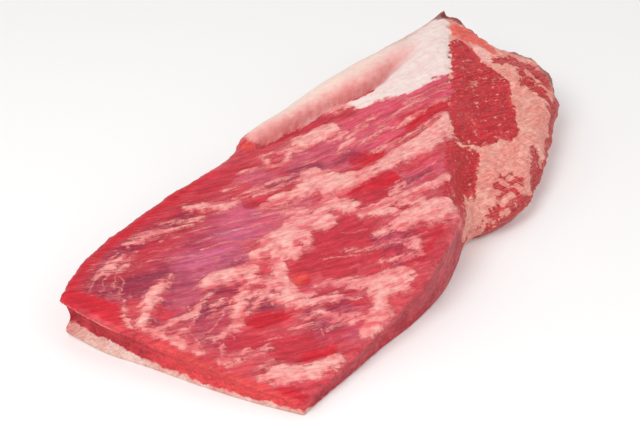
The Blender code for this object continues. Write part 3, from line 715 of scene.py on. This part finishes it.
# Studio, in metres
LAMP_TARGET_HEIGHT = 0.03
FLOOR_HALF = 4.0
FLOOR_BELOW = -0.0002


def linear(colour):
    c = np.array(colour, float) / 255
    return np.where(c <= 0.04045, c / 12.92, ((c + 0.055) / 1.055) ** 2.4)


TONES = {name: linear(colour) for name, colour in COLOURS.items()}


def coated(base, *coats):
    """Colours by place: a base under coats of (colour, share). A colour is a name or is given by place."""
    colours = TONES[base] if isinstance(base, str) else base
    for coat, share in coats:
        coat = TONES[coat] if isinstance(coat, str) else coat
        colours = colours + (coat - colours) * np.clip(share, 0, 1)[:, None]
    return colours


def towards(azimuth, elevation):
    """Unit vector from the meat towards a camera or a lamp."""
    a, e = math.radians(azimuth), math.radians(elevation)
    return np.array([math.sin(a) * math.cos(e), -math.cos(a) * math.cos(e), math.sin(e)])


def camera_axes():
    """(right, up, back) unit vectors of the camera."""
    turn = math.radians(CAMERA_AZIMUTH)
    right = np.array([math.cos(turn), math.sin(turn), 0])
    back = towards(CAMERA_AZIMUTH, CAMERA_ELEVATION)
    return right, np.cross(back, right), back


def plan_place(pixels):
    """Where the photograph's pixels fall on the upper face, in the plan."""
    right, up, back = camera_axes()
    eye = np.array(CAMERA_TARGET) + back * CAMERA_DISTANCE
    seen = (np.array(pixels, float) - (PHOTO_WIDTH / 2, PHOTO_HEIGHT / 2)) * CAMERA_SENSOR / PHOTO_WIDTH
    ray = seen[:, :1] * right - seen[:, 1:] * up - CAMERA_LENS * back
    z = np.full(len(ray), FIRST_GUESS_HEIGHT)
    for _ in range(GUESSES):
        place = eye + ray * ((z - eye[2]) / ray[:, 2])[:, None]
        x, y = np.clip(place[:, 0], -HALF_LENGTH, HALF_LENGTH), np.clip(place[:, 1], NEAR_EDGE_Y, FAR_EDGE_Y)
        z = (1 - GUESS_STEP) * z + GUESS_STEP * upper_face(x, y)
    return place[:, :2]


def in_plan(strokes):
    """The strokes in millimetres of the plan, as (points along the middle line, half width)."""
    pixels, counts = [], []
    for half, *line in strokes:
        (ax, ay), (bx, by) = line[0], line[-1]
        scale = half / math.hypot(bx - ax, by - ay)
        middle_x, middle_y = (ax + bx) / 2, (ay + by) / 2
        side_x, side_y = (ay - by) * scale, (bx - ax) * scale
        pixels += [*line, (middle_x + side_x, middle_y + side_y), (middle_x - side_x, middle_y - side_y)]
        counts.append(len(line))
    places = plan_place(pixels)
    made, start = [], 0
    for count in counts:
        line, (one, other) = places[start : start + count], places[start + count : start + count + 2]
        run = (line[-1] - line[0]) / np.linalg.norm(line[-1] - line[0])
        across = abs(run[0] * (one - other)[1] - run[1] * (one - other)[0]) / 2
        made.append((line.tolist(), across))
        start += count + 2
    return made


PLAN = {name: in_plan(strokes) for name, strokes in STROKES.items()}


def stroke_depth(x, y, name):
    """How far inside the strokes of one kind each place is, in millimetres, and negative outside them."""
    depth = np.full(x.shape, -float(FIELD_REACH))
    for line, half in PLAN[name]:
        for (ax, ay), (bx, by) in zip(line, line[1:]):
            reach = half + FIELD_REACH
            near = (x > min(ax, bx) - reach) & (x < max(ax, bx) + reach)
            near &= (y > min(ay, by) - reach) & (y < max(ay, by) + reach)
            px, py = x[near] - ax, y[near] - ay
            dx, dy = bx - ax, by - ay
            t = np.clip((px * dx + py * dy) / (dx * dx + dy * dy), 0, 1)
            depth[near] = np.maximum(depth[near], half - np.hypot(px - t * dx, py - t * dy))
    return depth


THIN_END_LINE = spline_points(THIN_END, 200)


def thin_end_x(y):
    return np.interp(y, THIN_END_LINE[:, 1], THIN_END_LINE[:, 0])


def noise_over(x, y, z):
    """A call for noise over these places, which takes the three wavelengths and a number of its own."""

    def noise(long, wide, high, number):
        return value_noise(x / long, y / wide, z / high, SEED + number)

    return noise


def knife_noise(x, y, long, wide, number):
    """Noise along the strokes of the knife that trimmed the fat cap."""
    return noise_over(0.9 * x + 0.4 * y, 0.9 * y - 0.4 * x, 0 * x)(long, wide, 1, number)


class Fields:
    """What shows at each point of the surface: shares from 0 to 1, and depths in millimetres."""


def fields(x, y, z):
    """All that the finer relief and the finish need to know of each point of the meat's surface."""
    meat = Fields()
    meat.along, meat.across = grain_place(x, y)
    plain, grained = noise_over(x, y, z), noise_over(meat.along, meat.across, z)
    wave_x, wave_y = plain(6, 6, 6, 20), plain(6, 6, 6, 22)
    fray_x, fray_y = plain(2.1, 2.1, 2.1, 21), plain(2.1, 2.1, 2.1, 23)
    streak, wide = grained(10, 1.5, 4, 24), grained(24, 3.6, 8, 25)
    meat.streak, meat.wide_streak = streak, wide
    meat.strings = value_noise(meat.along / 11 + 0.5 * wave_x, meat.across / 2.5, z / 4, SEED + 27)
    meat.ragged = ragged = plain(5, 5, 5, 26)
    torn = x + (3.2 * wave_x + 1.6 * fray_x), y + (1.5 * wave_y + 0.8 * fray_y)

    below = lean_face(x, y) - z - (CREASE_DEPTH + CREASE_TRIM) * crease_share(x, y)
    below = below - 4 * np.exp(-((end_cut_place(x, y)[1] / 7) ** 2)) * smooth_step(x, 0, 30)
    meat.below, meat.near_top = below, 1 - smooth_step(below, 3, 8)
    past = end_cut_place(*torn)[1] + 2.5 * ragged + 1.5 * fray_x
    meat.cut = smooth_step(past, -2, 3) * smooth_step(x, 15, 35) * smooth_step(z, 3, 9)
    meat.top = (1 - smooth_step(below, 1.5 + ragged, 5 + 2 * ragged)) * (1 - meat.cut)
    meat.thin_end = (1 - smooth_step(x - thin_end_x(y), 4, 9)) * smooth_step(below, 1, 3)

    ragged_z = z + 1.2 * ragged + 0.8 * fray_x
    tucked = smooth_step(-y, 50, 70) * smooth_step(x - thin_end_x(y), 4, 14)
    cap = 1 - smooth_step(ragged_z - cap_top(x, y) + 2.5 * tucked, -1, 1.6)
    wall_start = x + 5 * wave_y + 2.5 * ragged + 16 * (1 - smooth_step(z, 6, 36))
    wall = smooth_step(y - wall_y(wall_start) + 1.5 * ragged, -1, 2)
    off_roll = left_outline_y(x) - y - smooth_curve(x, ROLL_WIDTH) - 0.5 * ragged
    meat.roll = (1 - smooth_step(off_roll, -2.5, 1.5)) * roll_share(x)
    meat.cap = np.maximum.reduce([cap, wall, meat.roll * smooth_step(z, 20, 30)])

    seam_high = ragged_z + 1.5 * wave_y - seam_top(x, y)
    seam_low = ragged_z - 1.5 * wave_y - seam_bottom(x, y)
    seam = (1 - smooth_step(seam_high, -1.4, 1)) * smooth_step(seam_low, -1.4, 1) * (1 - cap)
    meat.point = (1 - smooth_step(seam_low, -1.4, 1)) * (1 - cap)
    deep = stroke_depth(*torn, "cut")
    dark = smooth_step(deep + 1.2 * fray_y, -1.5, 1.5)
    seen = meat.cut * smooth_step(z, 8, 16)
    meat.seam = seam * (1 - seen) + seen * (1 - dark) * (1 - meat.point)
    meat.dark = dark * seen
    patchy = smooth_step(wave_x + 0.5 * fray_x, -0.3, 0.5)
    meat.cut_rim = np.exp(-(((deep - 1.5) / 2.2) ** 2)) * patchy * seen

    def shown(name, low, high, *frays, at=torn):
        """Share of one kind of stroke, whose edge the frays break up."""
        depth = stroke_depth(*at, name)
        for fray in frays:
            depth = depth + fray
        return smooth_step(depth, low, high)

    meat.mottle = shown("mottle", -2, 1.5, 3.5 * fray_y, 2.5 * wave_y) * meat.cut
    meat.strand = shown("strand", -1.2, 0.4) * meat.cut
    meat.orange = shown("orange", -3.5, 3, 2 * fray_x)
    meat.spot = shown("spot", -2, 2)
    meat.rim = shown("rim", -3, 1, 1.5 * wave_x, at=(x, y)) * meat.near_top
    meat.nub = shown("nub", -2, 1.5) * smooth_step(z, 50, 60)
    meat.front_band = shown("front", -1.5, 2, 1.5 * wave_x, fray_x, at=(x, y))
    meat.cream = shown("cream", -3, 3, 2 * streak, 1.5 * wide)
    meat.purple = shown("purple", -4, 4, 2 * streak, 2 * wide)
    meat.lace = shown("lace", -1, 0.3, at=(x + wave_x + 0.5 * fray_x, y + wave_y + 0.5 * fray_y))
    meat.haze = shown("haze", -4, 4, 2.5 * wide, 2 * wave_x)
    meat.white = shown("white", -3, 2, 2.5 * streak, 1.5 * wide)
    meat.skin = shown("skin", -5, 5, 3 * wide, 1.5 * streak, at=(x, y))
    meat.bare = shown("bare", -2, 2, 2 * streak, 1.5 * wide)
    meat.bright = shown("bright", -2.5, 2.5, 1.5 * streak)
    meat.fat_depth = stroke_depth(*torn, "fat") + 2.3 * streak + 1.6 * wide + 0.5 * fray_y
    meat.fat_depth = meat.fat_depth - 5 * meat.front_band
    return meat


def fine_relief(x, y, z, meat):
    """The finer relief that shows in the picture: raised fat, fibre grooves, pits and the torn lip."""
    plain, grained = noise_over(x, y, z), noise_over(meat.along, meat.across, z)
    fat = smooth_step(meat.fat_depth, -1, 1.8) * meat.top
    soft = np.maximum(meat.cap, meat.seam)
    lean = (1 - fat) * (1 - soft)
    soft = soft * (1 - 0.85 * np.maximum(meat.roll, meat.white * meat.top))
    lift = FAT_LIFT * fat * (0.85 + 0.35 * plain(4, 3.4, 4, 30) + 0.4 * meat.strings)
    lift = lift + 0.5 * meat.lace * meat.top * (1 - fat)
    lift = lift + 0.8 * meat.cream * fat * grained(9, 3, 4, 38)
    lumps = (0.2 * fat + 0.7 * soft) * plain(4.5, 3.6, 4, 31)
    folds = (0.45 * fat + 0.2 * soft) * grained(4, 1.6, 1.8, 36)
    grooves = lean * (0.5 * grained(15, 2.1, 3, 32) + 0.34 * grained(8, 1.3, 2, 33))
    grain = 0.16 * plain(1.9, 1.9, 1.9, 34)
    haze = 0.5 * meat.haze * meat.top * (1 - fat) * np.abs(grained(4, 1.7, 3, 37))
    skin = -0.5 * meat.bare * meat.top
    crease = -CREASE_TRIM * crease_share(x, y) * meat.near_top
    lip = LIP_RISE * np.exp(-(((meat.below - 3) / 2) ** 2))
    lip = lip - GROOVE_DEPTH * np.exp(-(((meat.below - 8) / 2.4) ** 2))
    lip = meat.thin_end * smooth_step(y, -30, 5) * lip
    ridge = np.exp(-((end_cut_place(x, y)[1] / 4.5) ** 2)) * smooth_step(x, 0, 30)
    ridge = END_RIDGE_TRIM * ridge * meat.near_top
    end = 1.1 * meat.strand - 0.9 * meat.mottle - 0.7 * meat.dark
    end = end + 1.2 * meat.cut * (1 - meat.dark) * meat.ragged
    return lift + lumps + folds + grooves + grain + haze + skin + crease + lip + end - ridge


def underside_relief(x, y):
    """Shallow hollows of the fat where it rests, always up from the resting plane."""
    noise = noise_over(x, y, 0 * x)
    broad = noise(26, 22, 1, 40) + 0.6 * noise(9, 8, 1, 41)
    hollow = np.clip(0.5 + 0.9 * broad + 0.7 * knife_noise(x, y, 46, 7, 43), 0, 2.6)
    return hollow + 0.22 * (1 + noise(3.6, 3.2, 1, 42))


def lean_colours(x, y, meat, broad, small, tiny):
    """Colours of the lean and the membrane over it, with broad, small and tiny noise in them."""
    streak, wide = meat.streak, meat.wide_streak
    lilac = np.exp(-(((x + 150) / 42) ** 2 + ((y - 22) / 26) ** 2))
    lilac = lilac + np.exp(-(((x + 95) / 34) ** 2 + ((y - 42) / 18) ** 2))
    membrane = coated(
        "skin_pink",
        ("skin_purple", (1 - smooth_step(x, -150, -95)) * (0.75 + 0.4 * broad)),
        ("skin_lilac", lilac * (0.6 + 0.6 * wide)),
        ("skin_magenta", smooth_step(x, 0, 40) * (0.8 + 0.4 * broad)),
        ("lean_dark", 0.5 * smooth_step(-wide - 0.4 * streak, 0.2, 0.8)),
        ("fat_peach", 0.4 * smooth_step(streak + 0.6 * small, 0.3, 0.9)),
    )
    front_rim = coated(
        "lean_front",
        ("lean_front_dark", 0.3 + 0.4 * broad + 0.4 * small),
        ("orange_red", 0.35 * smooth_step(-y, -10, 40)),
    )
    front = coated(
        "lean_front",
        ("lean_front_dark", smooth_step(y, -40, 20) * 0.7 + 0.4 * broad + 0.3 * small),
        ("orange_red", (1 - smooth_step(y, -60, -10)) * (0.25 + 0.4 * small)),
    )
    is_front = 1 - smooth_step(x - thin_end_x(y), 5, 14)
    sides = coated("lean_side", ("lean_pale", 0.12 + 0.35 * broad + 0.3 * small), (front, is_front))
    left_edge = (1 - smooth_step(x, -130, -60)) * smooth_step(y - x * 0.1, 50, 85)
    return coated(
        "lean",
        ("lean_pale", 0.3 + 0.6 * wide + 0.25 * small),
        (membrane, 0.88 * meat.skin),
        ("lean_dark", 0.9 * left_edge),
        ("lean_dark", 0.92 * meat.bare),
        ("bright_red", 0.9 * meat.bright),
        # purple membrane, and painted shadow under flakes of fat
        ("skin_purple", 0.75 * meat.purple * meat.top),
        ("orange_red", 0.85 * meat.orange * meat.top),
        (front_rim, 0.9 * meat.front_band),
        (sides, 1 - meat.top),
        ("lean_cut", meat.cut),
        ("bright_red", 0.4 * meat.cut * smooth_step(small + 0.5 * tiny, 0.3, 0.9)),
        ("orange_red", 0.55 * meat.cut_rim),
        ("lean_point", meat.point * 0.9),
        ("rim_brown", meat.rim * 0.9),
    )


def fat_colours(x, y, meat, broad, small, tiny):
    """Colours of the fat, with broad, small and tiny noise in them, and painted shade on the roll, under it
    and in its crease.
    """
    streak, strings = meat.streak, meat.strings
    seam = coated("fat_seam", ("fat_seam_pale", 0.35 + 0.6 * broad + 0.5 * small + 0.4 * tiny))
    trimmed = knife_noise(x, y, 40, 9, 53)
    cap = coated(
        "fat_cap",
        ("fat_cap_stain", 0.12 + 0.5 * broad + 0.3 * small),
        ("lean_pale", 0.5 * smooth_step(broad - 0.6 * small + 0.4 * tiny, 0.45, 0.9)),
        ("fat_white", 0.7 * smooth_step(trimmed + 0.3 * small, 0, 0.7)),
        ("fat_cap_stain", 0.5 * smooth_step(-trimmed - 0.3 * small, 0.2, 0.8)),
    )
    inward, roll_width = left_outline_y(x) - y, smooth_curve(x, ROLL_WIDTH)
    # Painted shade: the roll turns peach towards its lower side and at its start
    shade_low_on_roll = smooth_step(inward / roll_width, 0.35, 0.95)
    shade_at_roll_start = 1 - smooth_step(x, -38, 25)
    roll = coated("fat_roll", ("fat_peach", 0.4 * shade_at_roll_start + 0.4 * shade_low_on_roll + 0.08 * small))
    # Painted shade: a salmon tint in the hollow along the crease under the roll
    shade_under_roll = np.exp(-(((inward - roll_width + 3) / 7) ** 2)) * roll_share(x)
    return coated(
        "fat_peach",
        ("fat_cream", 0.3 + 0.2 * small + 0.25 * tiny + 0.3 * broad + 0.55 * strings),
        ("fat_salmon", (1 - smooth_step(meat.fat_depth, 0, 4)) * 0.5),
        ("fat_salmon", 0.9 * smooth_step(0.5 * streak - strings - 0.4 * small, 0.15, 0.8)),
        ("skin_pink", 0.35 * meat.haze * (1 - smooth_step(meat.fat_depth, -2, 2))),
        ("fat_cream", 0.6 * meat.cream * (0.8 + 0.6 * small)),
        ("fat_white", meat.white * (0.95 + 0.15 * small)),
        (seam, np.maximum(meat.seam, meat.cut)),
        ("orange_red", 0.75 * meat.orange * meat.cut),
        ("fat_cream", meat.spot * meat.cut),
        (cap, meat.cap * (1 - meat.roll)),
        (roll, meat.roll),
        # painted shade under the roll, in salmon
        ("fat_salmon", 0.5 * shade_under_roll * meat.top * (0.8 + 0.4 * small)),
        # painted shade: dark red along the bottom of the crease beside the roll
        ("lean_dark", 0.4 * crease_share(x, y) ** 2 * meat.near_top),
        ("rim_brown", meat.rim * 0.9),
        ("rim_brown", meat.nub * 0.8),
    )


def finish_shares(y, meat, small, tiny):
    """Shares by place of fat, of flecks, of fine web between the fat, and of calm, even fat."""
    streak, side = meat.streak, 1 - meat.top
    on_top = np.clip(0.5 + meat.fat_depth / 8, 0, 1) * meat.top
    haze = (0.26 + 0.2 * small + 0.14 * streak) * meat.haze * meat.top * (1 - 0.5 * meat.bare)
    white = meat.white * meat.top
    fat = np.maximum.reduce([on_top, haze, white, meat.seam, meat.cap]) * (1 - 0.75 * meat.mottle)
    lip_line = meat.thin_end * smooth_step(y, 0, 30) * np.exp(-(((meat.below - 2.5) / 1.3) ** 2))
    scraps = 0.5 * meat.dark * smooth_step(small - 0.5 * tiny + 0.4 * streak, 0.42, 0.75)
    fat = np.maximum.reduce([fat, meat.strand, 0.8 * lip_line, 0.62 * meat.lace * meat.top, scraps])
    flecks = 0.45 * meat.top + 0.7 * meat.cut + 0.3 * side * (1 - meat.cut) + 0.3 * meat.point
    flecks = flecks * (1 - 0.5 * meat.bare * meat.top) * (1 - 0.6 * meat.bright * meat.top)
    near_fat = smooth_step(meat.fat_depth, -6, 0)
    web = 0.5 + 0.5 * meat.haze + 0.4 * near_fat + 0.3 * meat.wide_streak + 0.2 * meat.skin
    web = meat.top * np.clip(web, 0, 1) * (1 - 0.7 * meat.bare) * (1 - 0.5 * meat.bright)
    web = web + 0.5 * meat.cut
    calm = np.maximum(meat.roll, white)
    return {"fat": fat, "flecks": np.clip(flecks, 0, 1), "web": np.clip(web, 0, 1), "calm": calm}


def add_underside(points, faces, ring):
    """Fill the resting face with a grid half as fine as the outline, in place of one flat face."""
    n, m = CELLS_ALONG // 2, CELLS_ACROSS // 2
    edge = points[ring][:, :2]
    inset = edge + inward_normals(edge) * 1.5
    loop = inset[::2]
    plan = coons(loop, n, m)
    grid = np.dstack([plan, 0 * plan[..., 0]]).reshape(-1, 3)
    start = len(points)
    coarse = [start + i * (m + 1) + j for i, j in grid_border(n, m)]
    faces += [[start + q for q in reversed(face)] for face in grid_faces(n, m)]
    count = len(coarse)
    for k in range(count):
        a, b, c = ring[2 * k], ring[2 * k + 1], ring[(2 * k + 2) % len(ring)]
        here, there = coarse[k], coarse[(k + 1) % count]
        faces += [[a, here, b], [b, here, there], [b, there, c]]
    return np.vstack([points, grid]), faces


def coons(loop, n, m):
    """A grid of n by m cells that fills a closed loop of 2(n + m) points."""
    cut, thick = loop[: n + 1], loop[n : n + m + 1]
    roll = loop[n + m : 2 * n + m + 1][::-1]
    thin = np.vstack([loop[2 * n + m :], loop[:1]])[::-1]
    u, v = np.linspace(0, 1, n + 1)[:, None, None], np.linspace(0, 1, m + 1)[None, :, None]
    ruled = (1 - v) * cut[:, None] + v * roll[:, None] + (1 - u) * thin[None] + u * thick[None]
    corners = (
        (1 - u) * (1 - v) * cut[0] + (1 - u) * v * roll[0] + u * (1 - v) * cut[-1] + u * v * roll[-1]
    )
    return ruled - corners


def with_relief(points, faces):
    """The surface pushed out along its normals by all the relief, flat enough below to rest."""
    guide = mesh_object("relief_guide", points, faces)
    normals = np.zeros(len(points) * 3)
    guide.data.vertices.foreach_get("normal", normals)
    bpy.data.objects.remove(guide)
    x, y, z = points.T
    push = broad_relief(x, y, z) + fine_relief(x, y, z, fields(x, y, z))
    moved = points + normals.reshape(-1, 3) * (push * smooth_step(z, 1, 9))[:, None]
    resting = z < 0.01
    moved[resting, 2] = underside_relief(x, y)[resting]
    return moved


def cut_to(obj, cutter, operation):
    """Replace the object's mesh by the result of one Boolean with the cutter."""
    cut = obj.modifiers.new("layer", "BOOLEAN")
    cut.operation = operation
    cut.object = cutter
    cut.solver = "MANIFOLD"
    bpy.context.view_layer.update()
    graph = bpy.context.evaluated_depsgraph_get()
    made = bpy.data.meshes.new_from_object(obj.evaluated_get(graph))
    obj.modifiers.clear()
    obj.data = made


def store(mesh, name, kind, part, values):
    """Keep values at the mesh's points under a name, for the finish to read."""
    made = mesh.attributes.new(name, kind, "POINT")
    made.data.foreach_set(part, np.ascontiguousarray(values, np.float32).ravel())


def paint(obj):
    """Store what the finish needs at each vertex, worked out from its place in the plan."""
    mesh = obj.data
    co = np.zeros(len(mesh.vertices) * 3)
    mesh.vertices.foreach_get("co", co)
    x, y, z = co.reshape(-1, 3).T / MM
    meat = fields(x, y, z)
    noise = noise_over(x, y, z)
    broad, small, tiny = noise(13, 11, 11, 50), noise(4, 4, 4, 51), noise(1.8, 1.8, 1.8, 52)
    vectors = {
        "under": lean_colours(x, y, meat, broad, small, tiny),
        "over": fat_colours(x, y, meat, broad, small, tiny),
        "grain": np.stack([meat.along, meat.across, z], axis=1),
    }
    for name, values in vectors.items():
        store(mesh, name, "FLOAT_VECTOR", "vector", values)
    for name, values in finish_shares(y, meat, small, tiny).items():
        store(mesh, name, "FLOAT", "value", values)


class Nodes:
    """Short calls for building one material's node tree."""

    def __init__(self, tree):
        self.tree = tree

    def add(self, kind, inputs, **settings):
        node = self.tree.nodes.new(kind)
        for key, value in settings.items():
            setattr(node, key, value)
        for socket, value in inputs.items():
            self.connect(value, node.inputs[socket])
        return node

    def connect(self, value, socket):
        if isinstance(value, bpy.types.NodeSocket):
            self.tree.links.new(value, socket)
        else:
            socket.default_value = value

    def stored(self, name, output):
        """What paint stored at each point."""
        return self.add("ShaderNodeAttribute", {}, attribute_name=name).outputs[output]

    def math(self, operation, a, b=0.0):
        return self.add("ShaderNodeMath", {0: a, 1: b}, operation=operation).outputs[0]

    def plus(self, a, b):
        return self.math("ADD", a, b)

    def minus(self, a, b):
        return self.math("SUBTRACT", a, b)

    def times(self, a, b):
        return self.math("MULTIPLY", a, b)

    def scaled(self, colour, scale):
        return self.add("ShaderNodeVectorMath", {0: colour, "Scale": scale}, operation="SCALE").outputs[0]

    def noise(self, place, wavelengths, detail=2.0, rough=0.5):
        stretch = [1 / length for length in wavelengths]
        stretched = self.add("ShaderNodeVectorMath", {0: place, 1: stretch}, operation="MULTIPLY").outputs[0]
        settings = {"Vector": stretched, "Scale": 1.0, "Detail": detail, "Roughness": rough}
        return self.add("ShaderNodeTexNoise", settings).outputs[0]

    def ramp(self, value, low, high, to_low=0.0, to_high=1.0):
        inputs = {0: value, 1: low, 2: high, 3: to_low, 4: to_high}
        return self.add("ShaderNodeMapRange", inputs, interpolation_type="SMOOTHSTEP").outputs[0]

    def line(self, value, middle, half):
        """1 where the value is at the middle, down to 0 at half the width away from it."""
        return self.ramp(self.math("ABSOLUTE", self.minus(value, middle)), 0.0, half, 1.0, 0.0)

    def mix(self, share, a, b):
        return self.add("ShaderNodeMix", {0: share, 6: a, 7: b}, data_type="RGBA").outputs[2]


def meat_material(name):
    """Raw meat: fine fibres along the grain, ragged fat over it and small flecks, all by place."""
    made = bpy.data.materials.new(name)
    made.use_nodes = True
    make = Nodes(made.node_tree)
    grain, under, over = [make.stored(kind, "Vector") for kind in ("grain", "under", "over")]
    fat, flecks, web, calm = [make.stored(kind, "Fac") for kind in ("fat", "flecks", "web", "calm")]
    lively = make.minus(1.0, make.times(calm, 0.75))
    bundles = make.noise(grain, (22, 2.8, 2.8))
    fibres = make.noise(grain, (8, 0.8, 0.8))
    spots = make.noise(grain, (6, 2.0, 2.2), 3.0, 0.6)
    torn = make.noise(grain, (3.5, 1.0, 1.0), 4.0, 0.65)
    threads = make.noise(grain, (12, 0.9, 0.9), 3.0, 0.6)
    veins = make.noise(grain, (11, 4.2, 5), 3.0, 0.6)
    strands = make.noise(grain, (48, 2.3, 2.3), 1.0)

    shade = make.plus(make.ramp(bundles, 0.3, 0.7, 0.78, 1.14), make.ramp(fibres, 0.3, 0.7, -0.13, 0.13))
    small = make.ramp(make.minus(torn, make.minus(0.66, make.times(flecks, 0.13))), 0.0, 0.05)
    lean = make.mix(make.times(small, 0.5), make.scaled(under, shade), (*TONES["fleck"], 1))

    vein, strand = make.times(make.line(veins, 0.5, 0.022), 0.6), make.line(strands, 0.52, 0.028)
    lines = make.math("MAXIMUM", vein, strand)
    ragged = make.plus(fat, make.times(make.times(lines, web), 0.47))
    for noise, amount in ((torn, 0.6), (threads, 0.9), (bundles, 0.5)):
        ragged = make.plus(ragged, make.times(make.minus(noise, 0.5), amount))
    veil, solid = make.ramp(ragged, 0.16, 0.55, 0.0, 0.32), make.ramp(ragged, 0.46, 0.6, 0.0, 0.94)
    share = make.math("MAXIMUM", veil, solid)

    shade = make.plus(make.ramp(spots, 0.3, 0.7, -0.14, 0.08), make.ramp(threads, 0.35, 0.65, -0.14, 0.12))
    shade = make.plus(make.times(shade, lively), 1.0)
    crack = make.ramp(make.plus(spots, make.times(torn, 0.5)), 0.52, 0.74, 0.62, 0.0)
    fat_tone = make.mix(make.times(crack, lively), make.scaled(over, shade), make.mix(0.5, over, under))

    height = make.plus(make.times(fibres, 0.6), make.times(torn, 0.8))
    height = make.plus(height, make.times(share, 0.9))
    bump = make.add("ShaderNodeBump", {"Strength": 0.8, "Distance": 0.0004, "Height": height})
    finish = {
        "Base Color": make.mix(share, lean, fat_tone),
        "Roughness": make.plus(make.ramp(spots, 0.3, 0.7, 0.36, 0.5), make.times(share, 0.06)),
        "Normal": bump.outputs[0],
        "Specular IOR Level": 0.22,
        "Subsurface Weight": 0.1,
        "Subsurface Radius": (1.0, 0.35, 0.22),
        "Subsurface Scale": 0.002,
    }
    shader = made.node_tree.nodes["Principled BSDF"]
    for socket, value in finish.items():
        make.connect(value, shader.inputs[socket])
    return made


def layer(name, node, slot, surface, cuts):
    """One layer of the meat in its final place, standing for its node in the frame."""
    obj = mesh_object(name, *surface)
    for cutter, operation in cuts:
        cut_to(obj, cutter, operation)
    paint(obj)
    obj.data.materials.clear()
    obj.data.materials.append(meat_material(slot + "_finish"))
    obj.data.shade_smooth()
    obj.data.set_sharp_from_angle(angle=math.radians(60))
    obj.data.transform(Matrix.Translation((-PLAN_MIDDLE[0] * MM, -PLAN_MIDDLE[1] * MM, 0)))
    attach(obj, "root")
    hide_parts(node)
    return obj


def aim(obj, place, back):
    """Put a camera or a lamp in the scene, looking against the direction back."""
    bpy.context.scene.collection.objects.link(obj)
    obj.location = place
    obj.rotation_mode = "QUATERNION"
    obj.rotation_quaternion = (-back).to_track_quat("-Z", "Y")


def make_camera():
    camera = bpy.data.objects.new("camera", bpy.data.cameras.new("camera"))
    back = Vector(camera_axes()[2])
    target = Vector(CAMERA_TARGET) - Vector((*PLAN_MIDDLE, 0))
    aim(camera, (target + back * CAMERA_DISTANCE) * MM, back)
    camera.data.lens = CAMERA_LENS
    camera.data.sensor_width = CAMERA_SENSOR
    camera.data.dof.use_dof = False
    bpy.context.scene.camera = camera


def area_light(name, azimuth, elevation, distance, size, power):
    """A soft lamp that looks at the middle of the meat."""
    back = Vector(towards(azimuth, elevation))
    lamp = bpy.data.lights.new(name, "AREA")
    lamp.shape = "DISK"
    lamp.size = size
    lamp.energy = power
    aim(bpy.data.objects.new(name, lamp), back * distance + Vector((0, 0, LAMP_TARGET_HEIGHT)), back)


def make_light():
    area_light("key_light", azimuth=-80, elevation=50, distance=1.6, size=0.9, power=11.5)
    area_light("fill_light", azimuth=20, elevation=40, distance=1.8, size=1.2, power=3)
    world = bpy.data.worlds.new("studio")
    bpy.context.scene.world = world
    world.use_nodes = True
    sky = world.node_tree.nodes["Background"]
    sky.inputs["Color"].default_value = (1.0, 0.99, 0.98, 1)
    sky.inputs["Strength"].default_value = 0.7
    bpy.context.scene.view_settings.view_transform = "Standard"


def make_floor():
    mesh = bpy.data.meshes.new("floor")
    corners = [(x * FLOOR_HALF, y * FLOOR_HALF, 0) for x, y in ((-1, -1), (1, -1), (1, 1), (-1, 1))]
    mesh.from_pydata(corners, [], [(0, 1, 2, 3)])
    floor = bpy.data.objects.new("floor", mesh)
    bpy.context.scene.collection.objects.link(floor)
    floor.location.z = FLOOR_BELOW
    finish = bpy.data.materials.new("pale_floor")
    finish.use_nodes = True
    shader = finish.node_tree.nodes["Principled BSDF"]
    shader.inputs["Base Color"].default_value = (0.95, 0.95, 0.95, 1)
    shader.inputs["Roughness"].default_value = 0.8
    mesh.materials.append(finish)


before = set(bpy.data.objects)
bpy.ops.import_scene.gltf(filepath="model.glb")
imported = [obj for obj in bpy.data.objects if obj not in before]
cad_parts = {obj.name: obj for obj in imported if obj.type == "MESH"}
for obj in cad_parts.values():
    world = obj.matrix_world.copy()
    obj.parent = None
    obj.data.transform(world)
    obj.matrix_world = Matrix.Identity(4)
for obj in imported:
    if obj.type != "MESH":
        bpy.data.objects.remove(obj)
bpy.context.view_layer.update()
make_camera()
make_light()
make_floor()

points, faces = brisket_surface()
resting_ring = faces.pop()[::-1]
points, faces = add_underside(points, faces, resting_ring)
surface = (with_relief(points, faces), faces)

inside_cap = lean_block("inside_cap", 0)
lean_space = lean_block("lean_space", LAYER_GAP)
under_flat = height_block("under_flat", cutter_floor, lambda x, y: seam_top(x, y) + LAYER_GAP)
seam_space = height_block("seam_space", lambda x, y: seam_bottom(x, y) + LAYER_GAP, seam_top)
under_seam = height_block("under_seam", cutter_floor, seam_bottom)

layer("cap_of_fat", "fat_cap", "cap_fat", surface, [(inside_cap, "DIFFERENCE")])
layer(
    "flat_of_lean", "flat_muscle", "flat_lean", surface,
    [(lean_space, "INTERSECT"), (under_flat, "DIFFERENCE")],
)
layer(
    "seam_of_fat", "fat_seam", "seam_fat", surface,
    [(lean_space, "INTERSECT"), (seam_space, "INTERSECT")],
)
layer(
    "point_of_lean", "point_muscle", "point_lean", surface,
    [(lean_space, "INTERSECT"), (under_seam, "INTERSECT")],
)
for cutter in (inside_cap, lean_space, under_flat, seam_space, under_seam):
    bpy.data.objects.remove(cutter)
